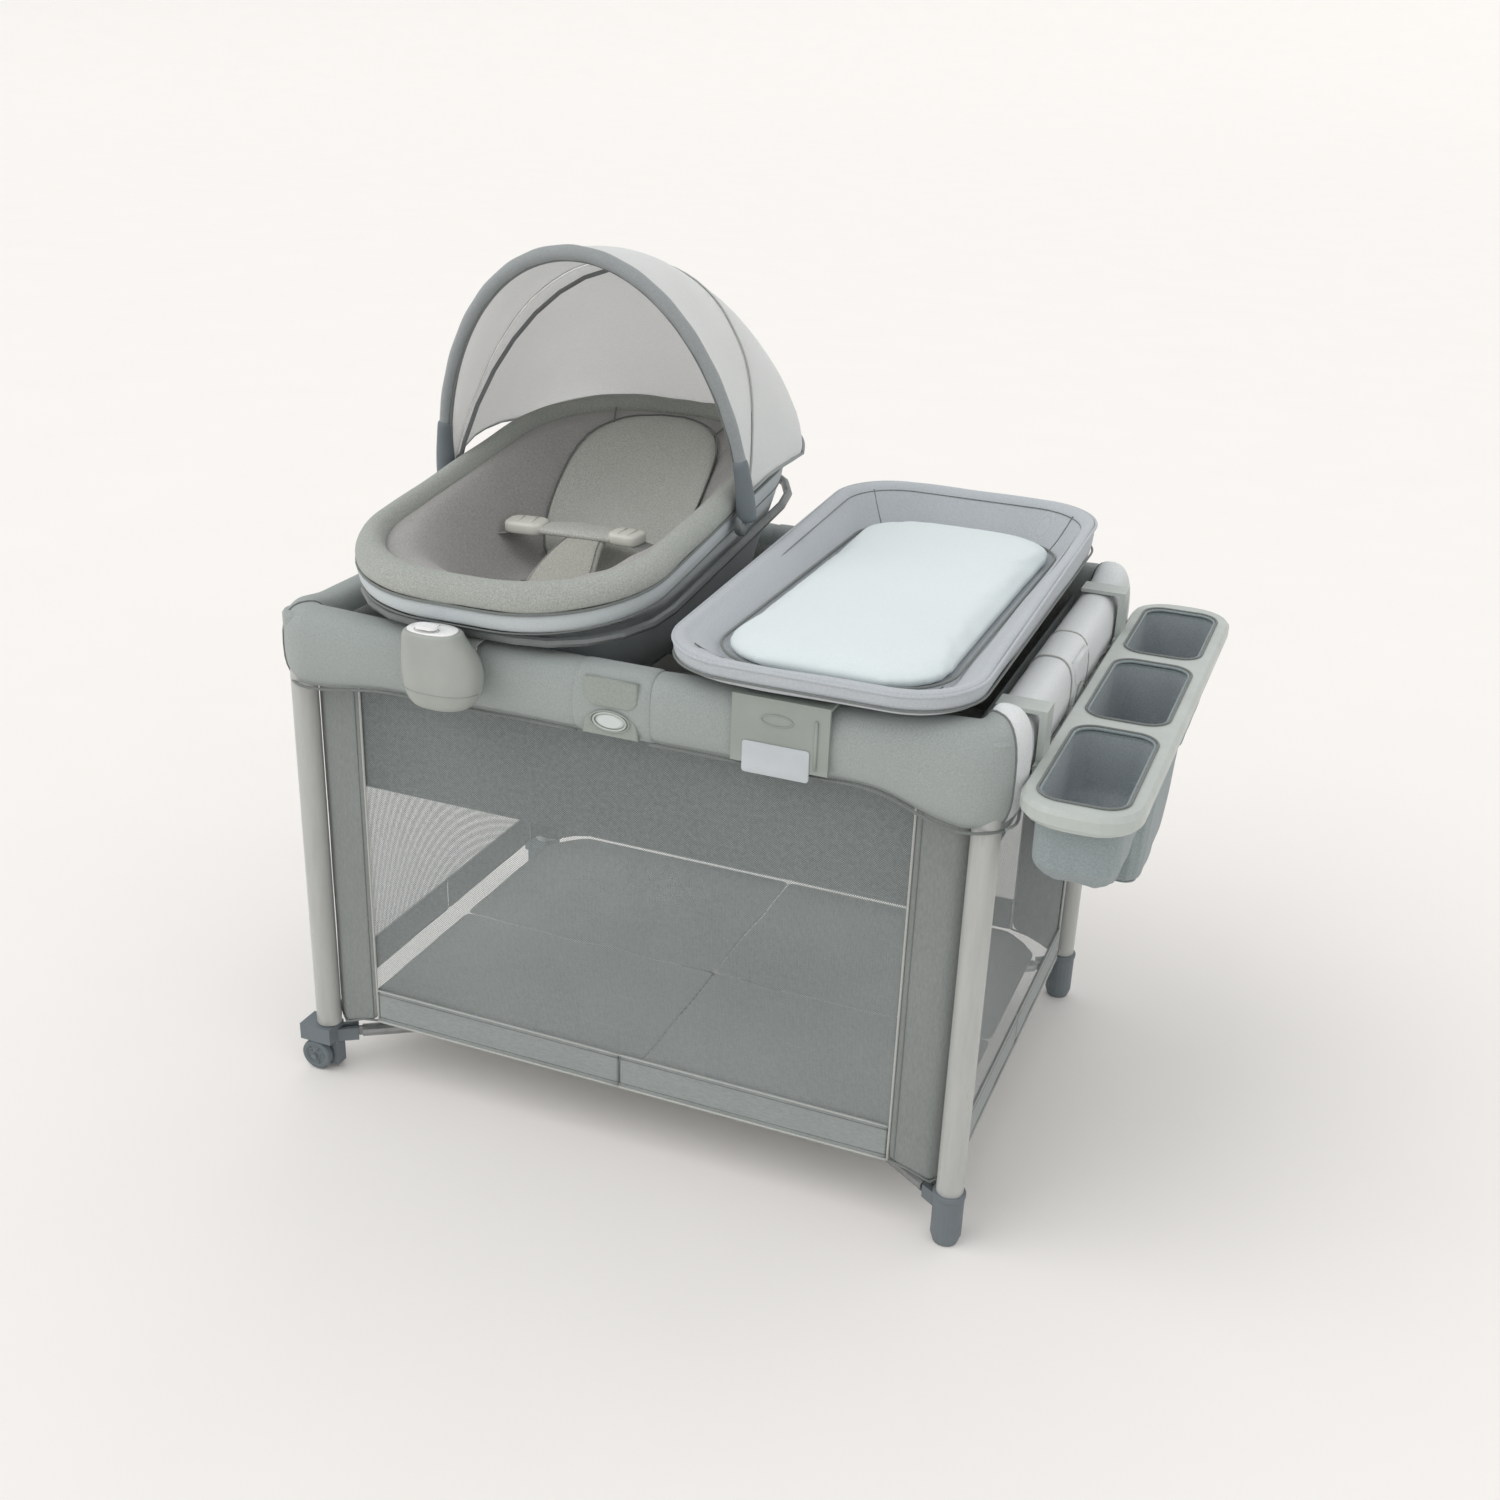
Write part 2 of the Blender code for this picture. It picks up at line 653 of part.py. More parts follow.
def seat_mounts():
    along, front = frame_of(True, -1)
    along, back = frame_of(True, 1)
    module = rail_hook("soothing_module", along, front, LEG_Y, MODULE_X, 0.030, 0.660, grey_plastic)
    rings = []
    body_levels = ((0.040, 0.085, 0.652), (0.052, 0.096, 0.665), (0.055, 0.098, 0.700), (0.053, 0.096, 0.722))
    for half, outer, z in body_levels:
        middle = (0.0335 + outer) / 2
        rings.append(rounded(MODULE_X, -LEG_Y - middle, half, (outer - 0.0335) / 2, 0.012, z, 3))
    body = loft("module_body", rings, None, into=cutters)
    rings = []
    for half, outer, z in ((0.047, 0.096, 0.716), (0.044, 0.095, 0.740), (0.0385, 0.092, 0.752)):
        middle = (0.054 + outer) / 2
        rings.append(rounded(CROWN_X, -LEG_Y - middle, half, (outer - 0.054) / 2, 0.012, z, 3))
    crown = loft("module_crown", rings, None, into=cutters)
    boolean(module, body, "UNION")
    boolean(module, crown, "UNION")
    rings = [rounded(BUTTON_X, -LEG_Y - 0.076, 0.0145, 0.0085, 0.008, z, 4) for z in (0.7555, 0.7595)]
    loft("module_button", rings, pad_white, (BUTTON_X, -LEG_Y - 0.076, 0.7555))
    hook = rail_hook("seat_rear_hook", along, back, LEG_Y, SEAT_X, 0.045, 0.680, grey_plastic)
    post = box("seat_rear_post", (SEAT_X - 0.030, 0.325, 0.7255), (SEAT_X + 0.030, 0.341, 0.8085), None,
               into=cutters)
    boolean(hook, post, "UNION")


def changer():
    def ring(inset, z, radius, slope=0.0):
        return rounded(CHANGER_X, 0, CHANGER_HALF_X - inset, CHANGER_HALF_Y - inset, radius,
                       lambda y: z + slope * y, 5)

    def middle_ring(half_x, half_y, z, radius):
        return rounded(CHANGER_X, 0, half_x, half_y, radius, z, 5)

    outer = [
        middle_ring(0.150, 0.270, 0.7305, 0.05),
        ring(0.016, 0.736, 0.08),
        ring(0.002, 0.752, 0.09),
        ring(0.0, 0.776, 0.09, 0.03),
        ring(0.010, 0.790, 0.08, 0.05),
    ]
    inner = [
        ring(0.026, 0.790, 0.07, 0.05),
        ring(0.038, 0.772, 0.06, 0.03),
        ring(0.046, 0.744, 0.06),
    ]
    loft("changer_tray", (*outer, *inner), changer_fabric)
    pad = [
        middle_ring(0.140, 0.328, 0.7445, 0.05),
        middle_ring(0.146, 0.334, 0.752, 0.055),
        middle_ring(0.142, 0.330, 0.761, 0.05),
        middle_ring(0.120, 0.305, 0.7655, 0.04),
    ]
    loft("changer_pad", pad, pad_white)
    path = middle_ring(0.168, 0.278, 0.7215, 0.06)
    tube("changer_frame_ring", path, 0.0065, steel, cyclic=True)
    along, front = frame_of(True, -1)
    along, back = frame_of(True, 1)
    rail_hook("changer_clip_front", along, front, LEG_Y, 0.225, 0.062, 0.642, grey_plastic)
    rail_hook("changer_clip_back", along, back, LEG_Y, 0.225, 0.062, 0.642, grey_plastic)


def organizer():
    low, high = ORGANIZER_Z, ORGANIZER_Z + ORGANIZER_HEIGHT
    frame = loft(
        "organizer_frame",
        [
            rounded(ORGANIZER_X, 0, ORGANIZER_HALF_X - inset, ORGANIZER_HALF_Y - inset, 0.055, z, 6)
            for inset, z in ((0.004, low), (0.0, low + 0.006), (0.0, high - 0.006), (0.004, high))
        ],
        grey_plastic,
    )
    bays = (
        ("front", -0.255, 0.118, 0.555),
        ("middle", 0.010, 0.115, 0.430),
        ("rear", 0.262, 0.105, 0.520),
    )
    for name, y, half_y, _ in bays:
        hole = loft(
            f"organizer_hole_{name}",
            [rounded(ORGANIZER_X, y, 0.053, half_y, 0.03, z, 4) for z in (low - 0.01, high + 0.01)],
            None,
            into=cutters,
        )
        boolean(frame, hole, "DIFFERENCE")
    along, out = frame_of(False, 1)
    for name, y in (("front", -0.245), ("rear", 0.245)):
        centre = along * y + out * LEG_X
        inner, outer = -0.0205, COVER_HALF + 0.0125
        top = slab(f"organizer_hook_{name}", centre, along, out, 0.018, (inner, outer), (0.7235, 0.7285), None,
                   into=cutters)
        toe = slab(f"organizer_toe_{name}", centre, along, out, 0.018, (0.004, outer),
                   (0.6175, 0.6225), None, into=cutters)
        stem = slab(f"organizer_stem_{name}", centre, along, out, 0.018, (COVER_HALF + 0.004, outer),
                    (0.618, 0.7275), None, into=cutters)
        foot = slab(f"organizer_foot_{name}", centre, along, out, 0.030, (COVER_HALF + 0.004, 0.050),
                    (0.648, 0.664), None, into=cutters)
        for part in (top, stem, toe, foot):
            boolean(frame, part, "UNION")
    pocket_wall = 0.002
    pockets = None
    for name, y, half_y, bottom in bays:
        levels = (
            (0.0380, 0.0300, 0.020, bottom),
            (0.0515, 0.0015, 0.028, low - 0.03),
            (0.0515, 0.0015, 0.028, high + 0.001),
            (0.0495, 0.0035, 0.026, high + 0.001),
            (0.0495, 0.0035, 0.026, low - 0.03),
            (0.0360, 0.0320, 0.018, bottom + pocket_wall),
        )
        rings = [rounded(ORGANIZER_X, y, half_x, half_y - pull, r, z, 4) for half_x, pull, r, z in levels]
        if pockets is None:
            pockets = loft("organizer_pockets", rings, pocket_fabric)
            continue
        more = loft(f"pocket_{name}", rings, None, into=cutters)
        boolean(pockets, more, "UNION")
    for name, y in (("front", -0.1210), ("rear", 0.1410)):
        joiner = box_between(
            f"pocket_joiner_{name}",
            (ORGANIZER_X - 0.03, ORGANIZER_X + 0.03),
            (y - 0.0185, y + 0.0185),
            (0.618, 0.624),
            None,
            into=cutters,
        )
        boolean(pockets, joiner, "UNION")


yard_corner_nodes()
top_rails()
latches_and_covers()
floor_linkage()
soft_yard()
bassinet()
infant_seat()
changer()
organizer()
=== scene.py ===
"""Looks of a folding travel play yard: mesh-walled yard, canopied infant seat, changing tray, side organizer.

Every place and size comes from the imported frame, in metres. +X runs towards the organizer, -Y is the front.
"""
from math import atan2, copysign, cos, hypot, pi, radians, sin, sqrt

import bmesh
import bpy
from mathutils import Matrix, Vector, noise


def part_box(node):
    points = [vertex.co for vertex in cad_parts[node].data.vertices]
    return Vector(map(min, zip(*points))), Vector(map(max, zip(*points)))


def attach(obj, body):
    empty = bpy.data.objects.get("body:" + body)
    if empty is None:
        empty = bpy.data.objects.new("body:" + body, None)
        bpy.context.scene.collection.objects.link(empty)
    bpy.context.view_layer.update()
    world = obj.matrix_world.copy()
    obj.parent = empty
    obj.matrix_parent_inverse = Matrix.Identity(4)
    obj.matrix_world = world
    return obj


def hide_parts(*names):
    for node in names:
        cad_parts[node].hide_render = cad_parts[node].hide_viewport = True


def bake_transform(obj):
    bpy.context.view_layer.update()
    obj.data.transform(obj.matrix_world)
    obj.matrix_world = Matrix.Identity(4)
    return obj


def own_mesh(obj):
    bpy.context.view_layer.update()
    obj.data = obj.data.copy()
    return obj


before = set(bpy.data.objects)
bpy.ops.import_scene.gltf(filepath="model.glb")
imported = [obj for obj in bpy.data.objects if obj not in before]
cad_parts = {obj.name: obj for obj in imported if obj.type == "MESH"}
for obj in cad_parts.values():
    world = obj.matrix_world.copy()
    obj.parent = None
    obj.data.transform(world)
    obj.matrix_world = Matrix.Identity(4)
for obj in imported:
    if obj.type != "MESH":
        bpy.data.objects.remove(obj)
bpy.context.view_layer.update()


# ---------------------------------------------------------------- sizes read from the frame

def middle(node):
    low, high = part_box(node)
    return (low + high) / 2


def half_sizes(node):
    low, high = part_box(node)
    return (high - low) / 2


UP = Vector((0, 0, 1))
LEG = middle("leg_front_right")
LEG_X, LEG_Y = LEG.x, -LEG.y
LEG_RADIUS = half_sizes("leg_front_right").x
LEG_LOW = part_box("leg_front_right")[0].z
LEG_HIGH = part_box("leg_front_right")[1].z
YARD_LOW, YARD_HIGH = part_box("fabric_enclosure")[0].z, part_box("fabric_enclosure")[1].z
COVER_HALF = half_sizes("rail_cover_front").y
COVER_LOW, COVER_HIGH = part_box("rail_cover_front")[0].z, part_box("rail_cover_front")[1].z
ENDS = (("left", -1), ("right", 1))
SIDES = (("front", -1), ("back", 1))
STRIP_EDGE_X = LEG_X - 0.088
STRIP_EDGE_Y = LEG_Y - 0.060
HEM_LOW, HEM_HIGH = YARD_LOW + 0.010, YARD_LOW + 0.064
NET_GAP = 0.0015

SEAT = middle("seat_shell")
SEAT_TILT = 0.135
SEAT_FOOT_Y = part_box("seat_shell")[0].y
PIVOT = Vector((middle("canopy_front_bow").x, 0.0, 0.820))

TRAY_LOW, TRAY_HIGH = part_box("changer_tray")
TRAY = middle("changer_tray")
TRAY_HALF = half_sizes("changer_tray")
PAD_LOW, PAD_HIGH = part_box("changer_pad")
PAD = middle("changer_pad")
PAD_HALF = half_sizes("changer_pad")
INSERT_LOW, INSERT_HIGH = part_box("bassinet_insert")
BED_LOW, BED_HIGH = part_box("mattress")
MODULE_LOW, MODULE_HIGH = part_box("soothing_module")
MODULE = middle("soothing_module")
ORGANIZER_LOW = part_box("organizer_frame")[0]
POCKET_LOW, POCKET_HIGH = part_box("organizer_pockets")


# ---------------------------------------------------------------- materials

def linear(red, green, blue):
    """A screen colour, 0 to 255, as scene-linear RGBA."""
    out = []
    for value in (red, green, blue):
        value /= 255
        out.append(value / 12.92 if value <= 0.04045 else ((value + 0.055) / 1.055) ** 2.4)
    return (*out, 1.0)


def shade(colour, by):
    return (*(min(1.0, part * by) for part in colour[:3]), 1.0)


class Graph:
    """A material's nodes, with short ways to add and join them."""

    def __init__(self, name, roughness, **uniform):
        self.material = bpy.data.materials.new(name)
        self.material.use_nodes = True
        self.tree = self.material.node_tree
        self.surface = next(n for n in self.tree.nodes if n.type == "BSDF_PRINCIPLED")
        self.surface.inputs["Roughness"].default_value = roughness
        for socket, value in uniform.items():
            self.surface.inputs[socket.replace("_", " ")].default_value = value
        self.place = self.node("ShaderNodeTexCoord").outputs["Object"]

    def node(self, kind, **settings):
        made = self.tree.nodes.new(kind)
        for key, value in settings.items():
            setattr(made, key, value)
        return made

    def join(self, source, target):
        if isinstance(source, (int, float)):
            target.default_value = source
        else:
            self.tree.links.new(source, target)

    def math(self, operation, first, second=0.0):
        made = self.node("ShaderNodeMath", operation=operation)
        self.join(first, made.inputs[0])
        self.join(second, made.inputs[1])
        return made.outputs[0]

    def axes(self):
        split = self.node("ShaderNodeSeparateXYZ")
        self.join(self.place, split.inputs[0])
        return split.outputs[0], split.outputs[1], split.outputs[2]

    def noise(self, scale, detail=3.0, stretch=(1, 1, 1), rough=0.55):
        source = self.place
        if stretch != (1, 1, 1):
            mapping = self.node("ShaderNodeMapping")
            mapping.inputs["Scale"].default_value = stretch
            self.join(self.place, mapping.inputs[0])
            source = mapping.outputs[0]
        made = self.node("ShaderNodeTexNoise")
        made.inputs["Scale"].default_value = scale
        made.inputs["Detail"].default_value = detail
        made.inputs["Roughness"].default_value = rough
        self.join(source, made.inputs["Vector"])
        return made.outputs[0]

    def span(self, value, low, high, to_low, to_high):
        made = self.node("ShaderNodeMapRange")
        self.join(value, made.inputs["Value"])
        for socket, number in zip(
            ("From Min", "From Max", "To Min", "To Max"), (low, high, to_low, to_high)
        ):
            made.inputs[socket].default_value = number
        return made.outputs[0]

    def mix(self, share, first, second, blend="MIX"):
        made = self.node("ShaderNodeMix", data_type="RGBA", blend_type=blend)
        self.join(share, made.inputs[0])
        for socket, value in ((made.inputs[6], first), (made.inputs[7], second)):
            if isinstance(value, tuple):
                socket.default_value = value
            else:
                self.tree.links.new(value, socket)
        return made.outputs[2]

    def bump(self, height, strength, distance):
        made = self.node("ShaderNodeBump")
        made.inputs["Strength"].default_value = strength
        made.inputs["Distance"].default_value = distance
        self.join(height, made.inputs["Height"])
        self.join(made.outputs[0], self.surface.inputs["Normal"])

    def colour(self, source):
        self.join(source, self.surface.inputs["Base Color"])

    def rough(self, source):
        self.join(source, self.surface.inputs["Roughness"])


def threads(graph, period):
    """Two sets of crossing threads as a height from -1 to 1, on any face that is near upright or level."""
    x, y, z = graph.axes()
    along = graph.math("ADD", x, y)
    other = graph.math("ADD", z, graph.math("MULTIPLY", graph.math("SUBTRACT", x, y), 0.55))
    turn = 2 * pi / period
    return graph.math(
        "MULTIPLY",
        graph.math("SINE", graph.math("MULTIPLY", along, turn)),
        graph.math("SINE", graph.math("MULTIPLY", other, turn)),
    )


def cloth(
    name, colour, flecks=0.20, grain=420, period=0.0016, bump=0.35, roughness=0.92, sheen=0.20,
    stretch=(1, 1, 1), worn=0.05,
):
    """Woven cloth: crossing threads, flecks of lighter and darker yarn, and a slow change of tone."""
    graph = Graph(name, roughness, Sheen_Weight=sheen, Sheen_Roughness=0.55, Specular_IOR_Level=0.25)
    weave = threads(graph, period)
    yarn = graph.noise(grain, 4.0, stretch, 0.65)
    fleck = graph.span(yarn, 0.32, 0.68, 0.0, 1.0)
    tone = graph.mix(fleck, shade(colour, 1 - flecks), shade(colour, 1 + flecks))
    slow = graph.span(graph.noise(7.0, 2.0), 0.3, 0.7, 0.0, 1.0)
    broad = graph.mix(slow, shade((1, 1, 1), 1 - worn), (1.0, 1.0, 1.0, 1.0))
    shadow = graph.span(weave, -1.0, 1.0, 0.90, 1.06)
    tint = graph.node("ShaderNodeCombineColor")
    for i in range(3):
        graph.join(shadow, tint.inputs[i])
    graph.colour(graph.mix(1.0, graph.mix(1.0, tone, broad, "MULTIPLY"), tint.outputs[0], "MULTIPLY"))
    graph.rough(graph.span(yarn, 0.3, 0.7, roughness - 0.06, min(1.0, roughness + 0.05)))
    height = graph.math("ADD", weave, graph.math("MULTIPLY", yarn, 1.6))
    graph.bump(height, bump, 0.0005)
    return graph.material


def net(name, colour, period=0.0030, open_share=0.34):
    """Knitted net: thin crossing threads with open holes between them."""
    graph = Graph(name, 0.85, Sheen_Weight=0.15, Specular_IOR_Level=0.2)
    x, y, z = graph.axes()
    along = graph.math("ADD", x, y)
    turn = pi / period
    one = graph.math("SINE", graph.math("MULTIPLY", graph.math("ADD", along, z), turn))
    two = graph.math("SINE", graph.math("MULTIPLY", graph.math("SUBTRACT", along, z), turn))
    hole = graph.math("ABSOLUTE", graph.math("MULTIPLY", one, two))
    cover = graph.span(hole, open_share - 0.12, open_share + 0.12, 1.0, 0.0)
    graph.join(cover, graph.surface.inputs["Alpha"])
    yarn = graph.noise(160, 3.0)
    slow = graph.noise(5.0, 2.0)
    tone = graph.mix(graph.span(yarn, 0.35, 0.65, 0, 1), shade(colour, 0.85), shade(colour, 1.15))
    graph.colour(graph.mix(graph.span(slow, 0.35, 0.65, 0, 0.25), tone, shade(colour, 1.25)))
    graph.bump(hole, 0.3, 0.0004)
    return graph.material


def moulded(name, colour, roughness=0.45, grain=900, bump=0.12, coat=0.0):
    """Moulded plastic with a fine spark-eroded grain and slight colour drift."""
    graph = Graph(name, roughness, Specular_IOR_Level=0.42, Coat_Weight=coat, Coat_Roughness=0.3)
    fine = graph.noise(grain, 2.0)
    slow = graph.noise(18.0, 3.0)
    graph.colour(graph.mix(graph.span(slow, 0.3, 0.7, 0, 1), shade(colour, 0.94), shade(colour, 1.05)))
    graph.rough(graph.span(graph.noise(45.0, 4.0), 0.3, 0.7, roughness - 0.07, roughness + 0.09))
    graph.bump(fine, bump, 0.0003)
    return graph.material


def painted(name, colour, roughness=0.32, metal=0.0):
    """Powder-coated tube: satin, with faint orange peel and fine scuffs that run round it."""
    graph = Graph(
        name, roughness, Metallic=metal, Specular_IOR_Level=0.55, Coat_Weight=0.25, Coat_Roughness=0.25
    )
    scuff = graph.noise(60.0, 5.0, (1, 1, 0.12), 0.7)
    graph.colour(graph.mix(graph.span(scuff, 0.42, 0.75, 0, 1), shade(colour, 1.03), shade(colour, 0.90)))
    graph.rough(graph.span(scuff, 0.35, 0.7, roughness - 0.05, roughness + 0.16))
    graph.bump(graph.noise(320.0, 2.0), 0.10, 0.0003)
    return graph.material


def knitted(name, colour, **more):
    """Heathered knit: finer threads than the woven cloth, with stronger flecks."""
    return cloth(name, colour, flecks=0.26, grain=560, period=0.0012, bump=0.45, **more)


rail_cloth = cloth("rail_cloth", linear(163, 170, 168), flecks=0.12, grain=520)
end_cloth = cloth("end_cloth", linear(226, 229, 230), flecks=0.06, period=0.0010, bump=0.2)
latch_cloth = cloth("latch_cloth", linear(158, 165, 158), flecks=0.10)
strip_cloth = cloth("strip_cloth", linear(138, 143, 141), flecks=0.10, stretch=(1, 1, 0.3))
hem_cloth = cloth("hem_cloth", linear(152, 158, 157), flecks=0.10, stretch=(0.3, 0.3, 1))
floor_cloth = cloth("floor_cloth", linear(199, 202, 200), flecks=0.08, period=0.0022, worn=0.10)
insert_cloth = cloth("insert_cloth", linear(114, 119, 118), flecks=0.14, period=0.0018)
lining_cloth = knitted("lining_cloth", linear(176, 177, 174))
piping_cloth = cloth("piping_cloth", linear(124, 129, 127), flecks=0.12, period=0.0009, roughness=0.8)
pale_piping = cloth("pale_piping", linear(186, 189, 185), flecks=0.08, period=0.0009, roughness=0.8)
wall_net = net("wall_net", linear(152, 159, 159))
seat_band = cloth("seat_band", linear(194, 201, 204), flecks=0.05, period=0.0011, bump=0.2, roughness=0.8)
seat_rim_knit = knitted("seat_rim_knit", linear(174, 178, 172))
seat_liner = knitted("seat_liner", linear(178, 176, 174), stretch=(1, 1, 0.35))
seat_pad_knit = knitted("seat_pad_knit", linear(203, 204, 198))
strap_web = cloth("strap_web", linear(150, 152, 150), flecks=0.10, period=0.0024, bump=0.6, sheen=0.1)
strap_knit = knitted("strap_knit", linear(186, 186, 178))
buckle_pale = moulded("buckle_pale", linear(222, 222, 214), 0.4)
canopy_outer = cloth(
    "canopy_outer", linear(212, 215, 214), flecks=0.04, period=0.0012, bump=0.2, roughness=0.8
)
canopy_inner = cloth("canopy_inner", linear(246, 246, 246), flecks=0.04, period=0.0012, bump=0.2)
for thin_cloth in (canopy_outer, canopy_inner):
    lit = thin_cloth.node_tree.nodes["Principled BSDF"]
    lit.inputs["Subsurface Weight"].default_value = 0.85
    lit.inputs["Subsurface Radius"].default_value = (1.0, 1.0, 1.0)
    lit.inputs["Subsurface Scale"].default_value = 0.012
bow_sleeve = cloth("bow_sleeve", linear(157, 162, 164), flecks=0.08, period=0.0010)
tray_cloth = cloth(
    "tray_cloth", linear(190, 195, 200), flecks=0.08, period=0.0013, bump=0.25, roughness=0.78
)
pad_cover = cloth(
    "pad_cover", linear(229, 238, 239), flecks=0.035, period=0.0011, bump=0.22, roughness=0.85,
    worn=0.02,
)
bed_cloth = knitted("bed_cloth", linear(190, 190, 184))
pocket_cloth = cloth(
    "pocket_cloth", linear(150, 161, 163), flecks=0.16, period=0.0022, bump=0.5, roughness=0.75
)
pocket_lining = cloth(
    "pocket_lining", linear(170, 178, 182), flecks=0.16, period=0.0022, bump=0.5, roughness=0.75
)
leg_paint = painted("leg_paint", linear(177, 179, 176))
steel = painted("steel", linear(150, 152, 153), 0.35, 0.8)
# Dark steel of the canopy bows; on the seat's frame ring this dark colour is painted shade.
bow_steel_and_shade = painted("bow_steel_and_shade", linear(120, 124, 124), 0.4, 0.3)
dark_plastic = moulded("dark_plastic", linear(110, 118, 123), 0.5)
wheel_plastic = moulded("wheel_plastic", linear(105, 114, 118), 0.5)
grey_plastic = moulded("grey_plastic", linear(186, 192, 188), 0.42)
module_plastic = moulded("module_plastic", linear(164, 168, 163), 0.38)
button_white = moulded("button_white", linear(246, 246, 246), 0.3, 900, 0.05, 0.3)
clip_plastic = moulded("clip_plastic", linear(152, 159, 153), 0.5)
latch_button_plastic = moulded("latch_button_plastic", linear(205, 211, 210), 0.35)
label_film = moulded("label_film", linear(191, 197, 201), 0.35, 300, 0.06, 0.2)


# ---------------------------------------------------------------- mesh helpers

def piece(name, points, faces, *materials):
    """A new mesh object in the frame's own coordinates, with its faces turned outward."""
    mesh = bpy.data.meshes.new(name)
    mesh.from_pydata([tuple(p) for p in points], [], faces)
    work = bmesh.new()
    work.from_mesh(mesh)
    bmesh.ops.remove_doubles(work, verts=work.verts, dist=1e-6)
    bmesh.ops.recalc_face_normals(work, faces=work.faces)
    work.to_mesh(mesh)
    work.free()
    for polygon in mesh.polygons:
        polygon.use_smooth = True
    made = bpy.data.objects.new(name, mesh)
    bpy.context.scene.collection.objects.link(made)
    for material in materials:
        mesh.materials.append(material)
    return made


def skin(name, rows, *materials, loop=False, caps=False):
    """Quads between rows of points. loop joins each row's ends, and caps closes the first and last row."""
    count = len(rows[0])
    points = [p for row in rows for p in row]
    faces = []
    for i in range(len(rows) - 1):
        for j in range(count if loop else count - 1):
            k = (j + 1) % count
            faces.append((i * count + j, i * count + k, (i + 1) * count + k, (i + 1) * count + j))
    if caps:
        faces.append(tuple(range(count)))
        faces.append(tuple((len(rows) - 1) * count + j for j in range(count)))
    return piece(name, points, faces, *materials)


def thicken(obj, depth, offset=-1.0, material_offset=0):
    made = obj.modifiers.new("thickness", "SOLIDIFY")
    made.thickness = depth
    made.offset = offset
    made.material_offset = material_offset
    made.material_offset_rim = 0
    return obj


def soften(obj):
    """One step of subdivision."""
    made = obj.modifiers.new("soften", "SUBSURF")
    made.levels = 1
    made.render_levels = 1
    return obj


def round_edges(obj, width, segments):
    made = obj.modifiers.new("round_edges", "BEVEL")
    made.width = width
    made.segments = segments
    made.limit_method = "ANGLE"
    made.angle_limit = radians(35)
    made.harden_normals = False
    return obj


def tube(name, path, radius, material, closed=False, sides=8):
    """A mesh tube along a path. radius is one number or one for each point."""
    path = [Vector(p) for p in path]
    count = len(path)
    rows = []
    across = None
    for i, here in enumerate(path):
        before = path[i - 1] if i or closed else here
        after = path[(i + 1) % count] if i < count - 1 or closed else here
        way = (after - before).normalized()
        if across is None:
            across = way.cross(UP if abs(way.z) < 0.9 else Vector((1, 0, 0)))
        across = (across - way * across.dot(way)).normalized()
        other = way.cross(across)
        size = radius[i] if isinstance(radius, (list, tuple)) else radius
        rows.append([here + across * cos(t) * size + other * sin(t) * size for t in turns(sides)])
    if closed:
        rows.append(rows[0])
    return skin(name, rows, material, loop=True, caps=not closed)


def lathe(name, foot, profile, material, steps=40, axis="z"):
    """A turned shape: profile is pairs of radius and height from its foot."""
    rows = []
    for radius, height in profile:
        row = []
        for turn in turns(steps):
            a, b = radius * cos(turn), radius * sin(turn)
            place = (a, b, height) if axis == "z" else (a, height, b)
            row.append(Vector(foot) + Vector(place))
        rows.append(row)
    return skin(name, rows, material, loop=True, caps=True)


def ring(centre_x, half_x, front, back, radius, height, steps=10, extra=6):
    """A rounded rectangle in plan, from its right back corner round to the right front one."""
    half_y, centre_y = (back - front) / 2, (back + front) / 2
    plan = []
    for quarter, (side_x, side_y) in enumerate(((1, 1), (-1, 1), (-1, -1), (1, -1))):
        for i in range(steps + 1):
            turn = (quarter + i / steps) * pi / 2
            x = side_x * (half_x - radius) + radius * cos(turn)
            plan.append((x, side_y * (half_y - radius) + radius * sin(turn)))
        length = half_x - radius if side_x == side_y else half_y - radius
        for i in range(1, extra + 1):
            share = 1 - 2 * i / (extra + 1)
            if side_x == side_y:
                plan.append((side_x * length * share, side_y * half_y))
            else:
                plan.append((side_x * half_x, side_y * length * share))
    points = []
    for x, y in plan:
        y += centre_y
        points.append(Vector((centre_x + x, y, height(y) if callable(height) else height)))
    return points


def inset_ring(centre_x, half_x, half_y, pull, radius, height, steps, extra):
    """A ring drawn in by pull from a rectangle whose middle is on the X axis."""
    return ring(centre_x, half_x - pull, pull - half_y, half_y - pull, radius, height, steps, extra)


def eased(value):
    value = min(1.0, max(0.0, value))
    return value * value * (3 - 2 * value)


def between(low, high, share):
    return low + (high - low) * share


def grained(p, scale, size):
    return noise.noise(Vector(p) * scale) * size


def run(low, high, steps):
    return [low + (high - low) * i / steps for i in range(steps + 1)]


def turns(count):
    """The angles of points spaced evenly round a circle."""
    return [2 * pi * i / count for i in range(count)]


def squarish(turn, square):
    """The cosine and sine of an angle, pushed out towards a square as square rises above 2."""
    a, b = cos(turn), sin(turn)
    return copysign(abs(a) ** (2 / square), a), copysign(abs(b) ** (2 / square), b)


def squared(turn, power):
    """The point of a superellipse in the direction of an angle. A power of 2 is a circle."""
    a, b = cos(turn), sin(turn)
    scale = (abs(a) ** power + abs(b) ** power) ** (-1 / power)
    return a * scale, b * scale


